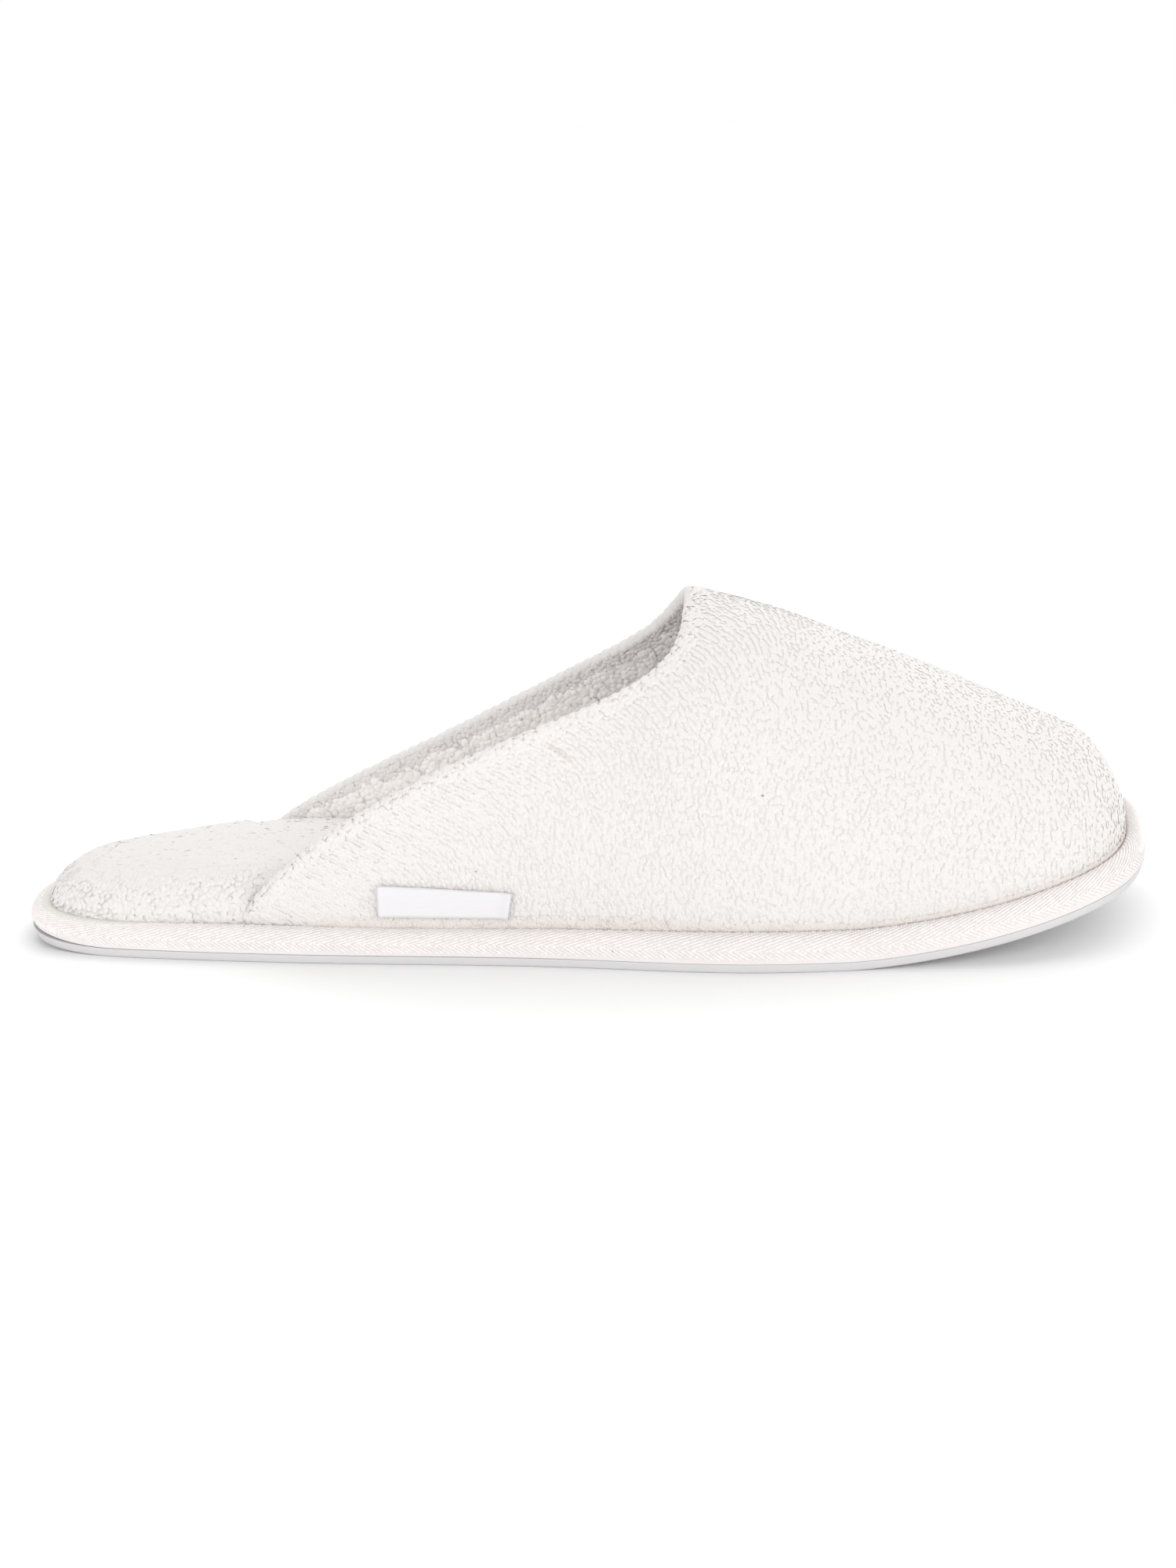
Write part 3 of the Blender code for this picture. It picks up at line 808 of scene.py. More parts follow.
# The kinds of tuft, each with its width, length and height in millimetres, the share that its size varies by,
# and how far it tilts, in radians
TUFT_INPUTS = ("Width", "Length", "Height", "Spread", "Tilt")
TUFTS = {
    "float": (0.62, 0.88, 0.42, 0.10, 0.04),
    "terry": (1.12, 1.60, 0.40, 0.22, 0.12),
    "lining": (2.10, 2.50, 0.60, 0.20, 0.08),
    "rim": (1.45, 1.85, 0.50, 0.22, 0.10),
    "rim_swell": (3.10, RIM_PITCH * 1.2, 2.20, 0.08, 0.10),
    "insole": (1.60, 1.95, 0.50, 0.22, 0.10),
    "backing": (0.80, 1.30, 0.45, 0.35, 0.30),
}
TUFT_SIDES = 6

# How much less a tuft tilts and stands where it is calm, and the shades that tufts are given
CALM_TILT = 0.85
CALM_HEIGHT = 0.6
TINTS = (0.3, 1.0)


def tuft_tree(sides):
    """Geometry nodes that set a small closed tuft on each point, turned and sized a little at random.
    sides: how many sides the tuft's double cone has, or 0 for a ball."""
    nodes = bpy.data.node_groups.new("tufts", "GeometryNodeTree")
    tree = Tree(nodes)

    def named(name, kind, in_out="INPUT"):
        return nodes.interface.new_socket(name, in_out=in_out, socket_type="NodeSocket" + kind)

    named("Geometry", "Geometry")
    named("Geometry", "Geometry", "OUTPUT")
    keys = {name: named(name, "Float") for name in TUFT_INPUTS}
    keys["Seed"] = named("Seed", "Int")
    keys["Material"] = named("Material", "Material")
    given = nodes.nodes.new("NodeGroupInput")
    entry = {name: Socket(tree, given.outputs[name]) for name in (*keys, "Geometry")}

    def read(name, kind="FLOAT_VECTOR"):
        inputs = {"Name": name}
        return tree.node("GeometryNodeInputNamedAttribute", inputs, output="Attribute", data_type=kind)

    def chance(low, high, offset):
        seed = entry["Seed"] + float(offset)
        made = tree.nodes.nodes.new("FunctionNodeRandomValue")
        made.data_type = "FLOAT"
        for socket in made.inputs:
            if socket.enabled and socket.name in ("Min", "Max"):
                tree.feed(socket, low if socket.name == "Min" else high)
        tree.feed(made.inputs["Seed"], seed)
        return Socket(tree, next(s for s in made.outputs if s.enabled))

    standing = tree.node(
        "FunctionNodeAlignRotationToVector", {"Vector": read("stand")}, axis="Z", pivot_axis="AUTO"
    )
    lying = tree.node(
        "FunctionNodeAlignRotationToVector",
        {"Rotation": standing, "Vector": read("lie")},
        axis="X",
        pivot_axis="Z",
    )
    grow, calm = read("grow", "FLOAT"), read("calm", "FLOAT")
    tilt = entry["Tilt"] * (1.0 - calm * CALM_TILT)
    wobble = tree.node(
        "ShaderNodeCombineXYZ",
        {
            "X": chance(-1.0, 1.0, 1) * tilt,
            "Y": chance(-1.0, 1.0, 2) * tilt,
            "Z": chance(-2.0, 2.0, 3) * tilt,
        },
    )
    turned = tree.node(
        "FunctionNodeRotateRotation",
        {0: lying, 1: tree.node("FunctionNodeEulerToRotation", {0: wobble})},
        rotation_space="LOCAL",
    )
    swell = (1.0 + chance(-1.0, 1.0, 4) * entry["Spread"]) * grow
    tall = entry["Height"] * (1.0 + chance(-1.0, 1.0, 5) * entry["Spread"]) * grow
    size = tree.node(
        "ShaderNodeCombineXYZ",
        {
            "X": entry["Length"] * swell,
            "Y": entry["Width"] * swell,
            "Z": tall * (1.0 - calm * CALM_HEIGHT),
        },
    )
    if sides:
        inputs = {"Segments": sides, "Rings": 2, "Radius": 0.5}
        shape = tree.node("GeometryNodeMeshUVSphere", inputs, output="Mesh")
    else:
        inputs = {"Subdivisions": 2, "Radius": 0.5}
        shape = tree.node("GeometryNodeMeshIcoSphere", inputs, output="Mesh")
    points = tree.node("GeometryNodeMeshToPoints", {"Mesh": entry["Geometry"]})
    placed = tree.node(
        "GeometryNodeInstanceOnPoints",
        {"Points": points, "Instance": shape, "Rotation": turned, "Scale": size},
    )
    tinted = tree.node(
        "GeometryNodeStoreNamedAttribute",
        {"Geometry": placed, "Name": "tint", "Value": chance(*TINTS, 6)},
        domain="INSTANCE",
        data_type="FLOAT",
    )
    real = tree.node("GeometryNodeRealizeInstances", {"Geometry": tinted})
    flat = tree.node("GeometryNodeSetShadeSmooth", {"Geometry": real, "Shade Smooth": False})
    finished = tree.node("GeometryNodeSetMaterial", {"Geometry": flat, "Material": entry["Material"]})
    end = nodes.nodes.new("NodeGroupOutput")
    tree.feed(end.inputs["Geometry"], finished)
    return nodes, {name: socket.identifier for name, socket in keys.items()}


def tuft_mesh(points, material, kind, sides=TUFT_SIDES):
    """Tufts of that kind on these points as one plain mesh, in metres. The points' object is used up."""
    nodes, identifiers = tuft_tree(sides)
    modifier = points.modifiers.new("tufts", "NODES")
    modifier.node_group = nodes
    width, length, height, spread, tilt = TUFTS[kind]
    for name, value in zip(TUFT_INPUTS, (width * MM, length * MM, height * MM, spread, tilt)):
        modifier[identifiers[name]] = value
    modifier[identifiers["Seed"]] = SEED
    modifier[identifiers["Material"]] = material
    graph = bpy.context.evaluated_depsgraph_get()
    graph.update()
    mesh = bpy.data.meshes.new_from_object(points.evaluated_get(graph))
    bpy.data.objects.remove(points)
    return mesh


def grow_tufts(base, points, material, kind, sides=TUFT_SIDES):
    """Adds tufts on these points to the base piece, as one mesh."""
    mesh = tuft_mesh(points, material, kind, sides)
    together = bmesh.new()
    together.from_mesh(base.data)
    together.from_mesh(mesh)
    together.to_mesh(base.data)
    together.free()
    bpy.data.meshes.remove(mesh)


def tuft_piece(name, points, material, kind):
    """A piece of its own, made of the tufts on these points."""
    mesh = tuft_mesh(points, material, kind)
    mesh.name = name
    return add_object(name, mesh)


def place_tree(place):
    """A tree that finds the nearest of these places."""
    tree = kdtree.KDTree(len(place))
    for i, p in enumerate(place):
        tree.insert(p, i)
    tree.balance()
    return tree


def thinned(place, gap, sure=0):
    """Which of these places to keep, so that no two are nearer than gap. The first sure ones are all kept."""
    tree = place_tree(place)
    keep = np.ones(len(place), bool)
    for i, p in enumerate(place):
        if keep[i]:
            for _, j, _ in tree.find_range(p, gap):
                if j > max(i, sure - 1):
                    keep[j] = False
    return keep


# Each wave's length, as shares of the patches' size, and the level that the sum of the waves is divided by
PATCH_WAVES = 9
PATCH_STRETCH = (1.2, 2.6)
PATCH_LEVEL = 4


def patches(place, size, seed):
    """Smooth random values at places, mostly from -1 to 1, in patches about that size."""
    rng = np.random.default_rng(seed)
    found = 0
    for _ in range(PATCH_WAVES):
        wave = unit(rng.normal(size=3)) * 2 * math.pi / (size * rng.uniform(*PATCH_STRETCH))
        found = found + np.sin(place @ wave + rng.uniform(0, 2 * math.pi))
    return found / PATCH_LEVEL


# The upper's cloth. Its rows run down from the collar, slanting near it and upright further down. COLLAR_FOOT
# and COLLAR_HEAD: the ends of the collar's line seen from the side, as x and z
ROW_PITCH = 0.98
TUFT_STEP = 0.86
COLLAR_FOOT = (-75.0, 9.0)
COLLAR_HEAD = (28.0, 77.0)
SLANT_FULL = 8.0
SLANT_REACH = 34.0
SLANT = 1.05
SCALLOP_DEPTH = 0.10
SCALLOP_REACH = 14.0

# PILE_DEPTH: how deep the plain walls lie under the pile's tops, FOOT_TUCK: how far they reach down past the
# seat, TUFT_SINK: how deep a tuft's middle lies
PILE_DEPTH = 0.28
FOOT_TUCK = 1.6
TUFT_SINK = 0.19


def below_collar(x, z):
    """How far a place lies in front of and below the collar's line, seen from the side."""
    chord = np.array(COLLAR_HEAD) - COLLAR_FOOT
    chord = chord / np.hypot(*chord)
    return (x - COLLAR_FOOT[0]) * chord[1] - (z - COLLAR_FOOT[1]) * chord[0]


def row_number(x, z):
    """The row of the cloth that runs through a place, as its x with the slant near the collar taken off."""
    below = np.minimum(below_collar(x, z), SLANT_REACH)
    bending = SLANT_REACH - SLANT_FULL
    share = np.clip((below - SLANT_FULL) / bending, 0, 1)
    run = np.minimum(below, SLANT_FULL) + bending / 3 * (1 - (1 - share) ** 3)
    return x - SLANT * run


def scallop(x, z):
    """How far the pile swells on the crown of a pair of rows near the collar's edge."""
    near = np.clip(1 - below_collar(x, z) / SCALLOP_REACH, 0, 1)
    return SCALLOP_DEPTH * near**1.5 * np.cos(row_number(x, z) * math.pi / ROW_PITCH)


# Soft troughs and swells of the upper. x and up: the middle, up as a share of the way round a section.
# long and wide: half lengths in millimetres, turn: degrees from lengthwise, depth: millimetres, inwards.
CREASES = (
    (14.0, 0.52, 16.0, 5.0, 50, 0.35),
    (36.0, 0.80, 22.0, 7.0, 25, 0.40),
    (60.0, 0.60, 20.0, 8.0, -30, 0.30),
    (88.0, 0.50, 16.0, 6.0, -50, 0.35),
    (-10.0, 0.30, 14.0, 5.0, 30, 0.30),
    (75.0, 0.22, 24.0, 6.0, 5, 0.30),
)
CREASE_DEPTH = 0.25
CREASE_PATCH = 26.0


def crease_depth(place):
    """How far the upper's outside is let in or out by its creases, at places in millimetres."""
    depth = 0
    for x, up, long, wide, turn, deep in CREASES:
        for side in (-1, 1):
            gap = place - upper_point(x, side * (1 - up))
            turned = math.radians(turn)
            along = gap[..., 0] * math.cos(turned) + gap[..., 2] * math.sin(turned)
            across = -gap[..., 0] * math.sin(turned) + gap[..., 2] * math.cos(turned)
            same_side = ease(30.0, 10.0, np.abs(gap[..., 1]))
            depth = depth - deep * np.exp(-((along / long) ** 2) - (across / wide) ** 2) * same_side
    return depth + CREASE_DEPTH * patches(place, CREASE_PATCH, 3)


# The bare backing along the seam. START: where it begins, TOE_HEIGHT: what is left of its height at TOE_X
STRIP_START = -61.0
STRIP_RISE = 8.0
STRIP_HEIGHT = 1.7
STRIP_TOE_HEIGHT = 0.3
STRIP_TOE_X = 90.0


def strip_height(x):
    """How high the bare backing stands above the seat at x, none behind its start."""
    height = STRIP_HEIGHT + (STRIP_TOE_HEIGHT - STRIP_HEIGHT) * ease(0.0, STRIP_TOE_X, x)
    return height * ease(STRIP_START, STRIP_START + STRIP_RISE, x)


# The grid that the rows are traced on. ROWS_FROM: where the first row would meet the seat
GRID_FROM = -90.0
GRID_STATIONS = 900
GRID_UPS = 220
GRID_EVERY = 3
ROWS_FROM = -130.0
COLLAR_CLEAR = 0.1
ROW_GAP = 0.5

# Tufts that fill the gaps between the rows. FILL_NAP: the direction that they lie along
FILL_TRIES = 60000
FILL_CLEAR = 0.3
FILL_GAP = 0.8
FILL_NAP = (0.8, 0.0, -0.6)


def row_places(rng):
    """Tufts along the rows of both sides, each as its x, its share of the way round and its nap."""
    xs = np.linspace(GRID_FROM, NOSE_X - 0.02, GRID_STATIONS)
    ups = np.linspace(0, 1, GRID_UPS)[::GRID_EVERY]
    stretch = run_along(upper_point(xs, 0.0))
    wanted = np.interp(np.arange(stretch[0], stretch[-1], ROW_PITCH), stretch, xs)
    wanted = np.concatenate([np.arange(ROWS_FROM, wanted[0], ROW_PITCH), wanted])
    wanted = row_number(wanted, np.full(len(wanted), SEAT))
    places = []
    for side in (-1, 1):
        grid = upper_point(xs[:, None], side * (1 - ups))
        numbers = np.maximum.accumulate(row_number(grid[..., 0], grid[..., 2]), axis=0)
        for number in wanted:
            x = np.array([np.interp(number, level, xs, left=np.nan, right=np.nan) for level in numbers.T])
            good = ~np.isnan(x)
            if good.sum() < 2:
                continue
            x, share = x[good], side * (1 - ups[good])
            line = upper_point(x, share)
            run = run_along(line)
            at = np.arange(rng.uniform(0, TUFT_STEP), run[-1], TUFT_STEP)
            nap = -np.gradient(line, axis=0)
            found = np.stack([np.interp(at, run, values) for values in (x, share, *nap.T)], 1)
            places.append(found[found[:, 0] > collar_x(found[:, 1]) + COLLAR_CLEAR])
    found = np.concatenate(places)
    return found[thinned(upper_point(found[:, 0], found[:, 1]), ROW_GAP)]


def filled(found, rng):
    """The same places with more between them, wherever there is room for a tuft."""
    x = rng.uniform(GRID_FROM, NOSE_X - 0.1, FILL_TRIES)
    share = rng.uniform(-1.0, 1.0, FILL_TRIES)
    clear = x > collar_x(share) + FILL_CLEAR
    loose = np.column_stack([x[clear], share[clear], np.tile(FILL_NAP, (clear.sum(), 1))])
    both = np.concatenate([found, loose])
    return both[thinned(upper_point(both[:, 0], both[:, 1]), FILL_GAP, len(found))]


# How far a tuft strays from its row, at the collar and further down, and how far down that is
STRAY_NEAR = 0.16
STRAY_FAR = 0.32
STRAY_FROM = 2.0
STRAY_TO = 20.0

# The pile's ragged lower edge. PULL: how the seam's stitches draw it up, from one x on and fully from another
RAGGED = (-0.4, 0.5)
RAGGED_DEPTH = 0.4
RAGGED_PATCH = 5.0
PULL_PITCH = 4.6
PULL_REACH = 0.9
PULL_STEEPNESS = 5
PULL_FROM = 20.0
PULL_TO = 60.0


def upper_tufts():
    """Places and directions for the tufts of the upper's outside: where each is, stands and lies."""
    rng = np.random.default_rng(SEED)
    found = filled(row_places(rng), rng)
    x, share, nap = found[:, 0], found[:, 1], unit(found[:, 2:])
    place, outward = upper_point(x, share), upper_outward(x, share)
    loose = ease(STRAY_FROM, STRAY_TO, below_collar(place[:, 0], place[:, 2]))[:, None]
    stray = rng.uniform(-1, 1, size=place.shape) * (STRAY_NEAR + STRAY_FAR * loose)
    place = place + stray - outward * (stray * outward).sum(1)[:, None]
    above = place[:, 2] - SEAT - lift(place[:, 0])
    stitch = np.abs((place[:, 0] / PULL_PITCH) % 1 - 0.5)
    pulled = PULL_REACH * np.clip(1 - stitch * PULL_STEEPNESS, 0, 1)
    pulled = pulled * ease(PULL_FROM, PULL_TO, place[:, 0])
    ragged = rng.uniform(*RAGGED, len(place)) + RAGGED_DEPTH * patches(place, RAGGED_PATCH, 5)
    crest = SEAT + BOUND_EDGE_HEIGHT * (column(TAPE_CREST, 1, along_of(place[:, 0])) - 1)
    keep = above + SEAT > crest + strip_height(place[:, 0]) + ragged + pulled
    place, outward, nap = place[keep], outward[keep], nap[keep]
    swell = scallop(place[:, 0], place[:, 2]) + crease_depth(place)
    return place + outward * (swell - TUFT_SINK)[:, None], outward, nap


# The wall's grid, and the height above the seat over which its relief grows to full
UPPER_ROWS = 150
UPPER_STATIONS = 110
RIM_STEPS = 8
RELIEF_FROM_SEAT = 3.0


def build_upper_shell(material):
    """The upper's two cloths and the fold at its collar, as one closed wall that the tufts stand on, with the
    middle line of the collar's edge, the way that it rolls and half its thickness."""
    shares = np.linspace(-1, 1, UPPER_ROWS + 1)
    reach = 1 - np.cos(np.linspace(0, math.pi / 2, UPPER_STATIONS + 1))[1:]
    edge_x = collar_x(shares)
    x = NOSE_X - (NOSE_X - edge_x[:, None]) * reach
    around = np.broadcast_to(shares[:, None], x.shape)
    outer = upper_point(x, around)
    outward = upper_outward(x, around)
    outward[[0, -1], :, 2] = 0
    outward = unit(outward)
    inner = outer - outward * (UPPER_WALL - PILE_DEPTH)
    relief = scallop(outer[..., 0], outer[..., 2]) + crease_depth(outer)
    low = np.clip(1 - (outer[..., 2] - SEAT - lift(outer[..., 0])) / RELIEF_FROM_SEAT, 0, 1)
    outer = outer + outward * (relief * (1 - low) - PILE_DEPTH)[..., None]
    rolled = unit(np.cross(np.gradient(outer[:, -1], axis=0), outward[:, -1]))
    if rolled[UPPER_ROWS // 2, 0] > 0:
        rolled = -rolled
    rolled[[0, -1]] = (-1, 0, 0)
    centre = (outer[:, -1] + inner[:, -1]) / 2
    half = np.linalg.norm(outer[:, -1] - inner[:, -1], axis=1)[:, None] / 2
    turn = np.linspace(0, math.pi, RIM_STEPS + 1)[1:-1]
    rim = [centre + (outward[:, -1] * math.cos(t) + rolled * math.sin(t)) * half for t in turn]
    lines = np.concatenate([outer, np.stack(rim, 1), inner[:, ::-1]], 1)
    foot = SEAT - FOOT_TUCK
    for side in (0, -1):
        lines[side, :, 2] = foot + lift(lines[side, :, 0])
    mesh_data = bmesh.new()
    nose = np.array([NOSE_X - PILE_DEPTH, NOSE_Y, foot + lift(NOSE_X)])
    inner_nose = np.array([NOSE_X - UPPER_WALL, NOSE_Y, foot + lift(NOSE_X - UPPER_WALL)])
    tip, inner_tip = add_points(mesh_data, (nose, inner_nose))
    rows = [[tip, *add_points(mesh_data, line), inner_tip] for line in lines]
    for row, beside in zip(rows, rows[1:]):
        mesh_data.faces.new((tip, row[1], beside[1]))
        bridge(mesh_data, row[1:-1], beside[1:-1], closed=False)
        mesh_data.faces.new((inner_tip, beside[-2], row[-2]))
    for row in (rows[0], rows[-1]):
        under, above = row[: UPPER_STATIONS + 1], row[::-1][: UPPER_STATIONS + 1]
        bridge(mesh_data, under, above, closed=False)
        mesh_data.faces.new(row[UPPER_STATIONS : UPPER_STATIONS + RIM_STEPS + 1])
    return make_object("upper_cloth", mesh_data, material), centre, rolled, half


def threes(items, key, kind=np.float32):
    """That property of all of a mesh's vertices or faces, three numbers to a row."""
    found = np.empty(len(items) * 3, kind)
    items.foreach_get(key, found)
    return found.reshape(-1, 3)


# How many places are tried for each that there is room for
PLACE_TRIES = 4.0


def on_faces(mesh, chosen, gap, seed):
    """Places spread over the chosen faces of a mesh, at least gap apart, with the faces' directions."""
    rng = np.random.default_rng(seed)
    mesh.calc_loop_triangles()
    owner = np.empty(len(mesh.loop_triangles), np.int32)
    mesh.loop_triangles.foreach_get("polygon_index", owner)
    corners = threes(mesh.loop_triangles, "vertices", np.int32)[chosen[owner]]
    points = threes(mesh.vertices, "co").astype(float) / MM
    normal = threes(mesh.vertices, "normal").astype(float)
    a, b, c = (points[corners[:, k]] for k in range(3))
    area = np.linalg.norm(np.cross(b - a, c - a), axis=1) / 2
    count = int(area.sum() / gap**2 * PLACE_TRIES)
    face = rng.choice(len(area), count, p=area / area.sum())
    u, v = rng.random(count), rng.random(count)
    u, v = np.where(u + v > 1, 1 - u, u), np.where(u + v > 1, 1 - v, v)
    place = a[face] + (b[face] - a[face]) * u[:, None] + (c[face] - a[face]) * v[:, None]
    direction = sum(normal[corners[face, k]] * w[:, None] for k, w in enumerate((1 - u - v, u, v)))
    keep = thinned(place, gap)
    return place[keep], unit(direction[keep])


def face_middles(mesh):
    """The middle of each face of a mesh, in millimetres."""
    return threes(mesh.polygons, "center").astype(float) / MM


def any_way(outward, rng):
    """A direction that lies along the surface, different at each place."""
    return unit(np.cross(outward, rng.normal(size=outward.shape)))


def build_outer_piles(material):
    """The tufts of the upper's outside, as one piece for each side. They lie flatter where they face up."""
    place, stand, nap = upper_tufts()
    piles = []
    for name, chosen in (("outer_pile", place[:, 1] < 0), ("inner_pile", place[:, 1] >= 0)):
        calm = ease(0.25, 0.85, stand[chosen, 2])
        points = scatter(name + "_points", place[chosen], stand[chosen], nap[chosen], calm=calm)
        piles.append(tuft_piece(name, points, material, "terry"))
    return piles


# The lining's and the rim's tufts. AXIS_HEIGHT: the line that the lining's faces turn towards, PILE_FOOT: the
# lowest faces with tufts, above the seat, RIM_REACH: how near the collar the rim's are, as shares of its wall
AXIS_HEIGHT = 25.0
PILE_FOOT = 0.5
RIM_REACH = 0.75
LINING_GAP = 1.0
LINING_LEAN = 0.1
LINING_RISE = 0.15
LINING_CLUMP = 0.3
LINING_PATCH = 2.8
RIM_GAP = 0.85
RIM_RISE = 0.2

# How much fuller the medial side's swells are, and how far past the middle they are fully so
FULLER = 0.2
FULLER_AT = 8.0


def build_upper(terry_cloth, lining_cloth):
    """The upper's wall with the tufts of its outside, and those of its lining and collar."""
    rng = np.random.default_rng(SEED + 1)
    shell, centre, rolled, half = build_upper_shell(terry_cloth)
    piles = build_outer_piles(terry_cloth)
    middles = face_middles(shell.data)
    above_foot = middles[:, 2] - SEAT - lift(middles[:, 0]) > PILE_FOOT
    away = np.stack([middles[:, 0] * 0, middles[:, 1], middles[:, 2] - AXIS_HEIGHT], 1)
    faces_in = (threes(shell.data.polygons, "normal") * away).sum(1) < 0
    tree = place_tree(centre)
    at_rim = np.array([tree.find(p)[2] for p in middles]) < UPPER_WALL * RIM_REACH
    place, outward = on_faces(shell.data, faces_in & ~at_rim & above_foot, LINING_GAP, SEED + 2)
    stand = unit(outward + rng.normal(size=outward.shape) * LINING_LEAN)
    place = place + outward * (LINING_RISE + LINING_CLUMP * patches(place, LINING_PATCH, 9))[:, None]
    points = scatter("lining_points", place, stand, any_way(outward, rng))
    lining = tuft_piece("lining_pile", points, lining_cloth, "lining")
    place, outward = on_faces(shell.data, at_rim & above_foot, RIM_GAP, SEED + 5)
    points = scatter("rim_points", place + outward * RIM_RISE, outward, any_way(outward, rng))
    rim = tuft_piece("rim_pile", points, terry_cloth, "rim")
    run = run_along(centre)
    at = np.arange(RIM_PITCH / 2, run[-1], RIM_PITCH)
    columns = np.hstack([centre + rolled * (half - RIM_SWELL_IN), rolled, np.gradient(centre, axis=0)])
    found = np.stack([np.interp(at, run, c) for c in columns.T], 1)
    fuller = 1 + FULLER * ease(0.0, FULLER_AT, found[:, 1])
    points = scatter("rim_swells", found[:, :3], unit(found[:, 3:6]), unit(found[:, 6:]), fuller)
    grow_tufts(rim, points, terry_cloth, "rim_swell", sides=0)
    return shell, *piles, lining, rim


# The insole's tufts. LOW: the lowest faces that carry them, against the seat, FLAT: the rise of a face's
# direction at which they begin to lie flat, and at which they do so fully, SINK: how deep they lie there
INSOLE_LOW = -0.7
INSOLE_GAP = 0.95
INSOLE_LEAN = 0.08
INSOLE_FLAT = (0.55, 0.95)
INSOLE_CLUMP = 0.18
INSOLE_PATCH = 2.4
INSOLE_RISE = 0.14
INSOLE_SINK = 0.04
INSOLE_LEAST = 0.8
INSOLE_MORE = 0.25
SHOULDER_STEPS = 14


def pad_neck(medial):
    """Where along LENGTH a side of the pad is in full, and where it is in past the upper's rolled end."""
    end = COLLAR[0][2 if medial else 1] - (UPPER_WALL / 2 + GAP - PAD_PRESS) / LENGTH
    return end - PAD_NECK, end


def build_insole(material):
    """The insole pad, with its terry cover's tufts on top and round its shoulders."""
    rng = np.random.default_rng(SEED + 3)
    share = along_of(SOLE_X)
    medial = np.arange(len(SOLE_RUNS)) > SOLE_STATIONS
    narrowed = np.where(medial, ease(*pad_neck(True), share), ease(*pad_neck(False), share))
    setback = UPPER_SETBACK + (PAD_SETBACK - UPPER_SETBACK) * narrowed + PILE_DEPTH
    thickness = PAD_THICKNESS * column(PAD, 1, share)
    shoulder = BALL_WIDTH * column(PAD, 2, share)
    fullness = column(PAD, 3, share)
    rings = [(setback + PAD_FOOT_IN, SEAT - FOOT_TUCK), (setback, SEAT - FOOT_TUCK / 2)]
    rings.append((setback, SEAT + PAD_FOOT_UP * thickness))
    for inward in (1 - np.cos(np.linspace(0, math.pi / 2, SHOULDER_STEPS + 1)))[1:]:
        rise = (1 - (1 - inward) ** fullness) ** (1 / fullness)
        height = SEAT + thickness * rise * (1 - PAD_CROWN) - PILE_DEPTH * rise
        rings.append((setback + shoulder * inward, height))
    pad = layered("insole_pad", rings, material, PAD_THICKNESS * PAD_CROWN)
    middles = face_middles(pad.data)
    chosen = middles[:, 2] - SEAT - lift(middles[:, 0]) > INSOLE_LOW
    place, outward = on_faces(pad.data, chosen, INSOLE_GAP, SEED + 4)
    stand = unit(outward + rng.normal(size=outward.shape) * INSOLE_LEAN)
    loose = 1 - ease(*INSOLE_FLAT, outward[:, 2])
    clumps = patches(place, INSOLE_PATCH, 8) * INSOLE_CLUMP * loose
    place = place + outward * (clumps + INSOLE_RISE * loose - INSOLE_SINK)[:, None]
    grow = INSOLE_LEAST + INSOLE_MORE * loose
    points = scatter("insole_points", place, stand, any_way(outward, rng), grow, 1 - loose)
    grow_tufts(pad, points, material, "insole")
    return pad


# The backing's section round its edge. inward: past UPPER_SETBACK, up: above the tape's top as a share of the
# strip's height, or below it in millimetres
STRIP_SECTION = (
    (0.10, -0.7),
    (0.05, -0.5),
    (0.10, 0.5),
    (0.30, 1.7),
    (0.60, 1.7),
    (0.90, 0.0),
    (0.90, -0.7),
)
STRIP_STATIONS = 520
STRIP_WAVE = 0.12
STRIP_WAVE_TURN = 0.9
STRIP_TUFTS = 4200
STRIP_TUFT_LOW = -0.2
STRIP_TUFT_HIGH = 1.4
STRIP_END_CLEAR = 2
STRIP_STRAY = 0.4


def tall_at(runs):
    """How high the backing stands at those lengths round the outline, and which way is outwards there."""
    flat, outward = edge_at(runs)
    return strip_height(flat[:, 0] - outward[:, 0] * UPPER_SETBACK), outward


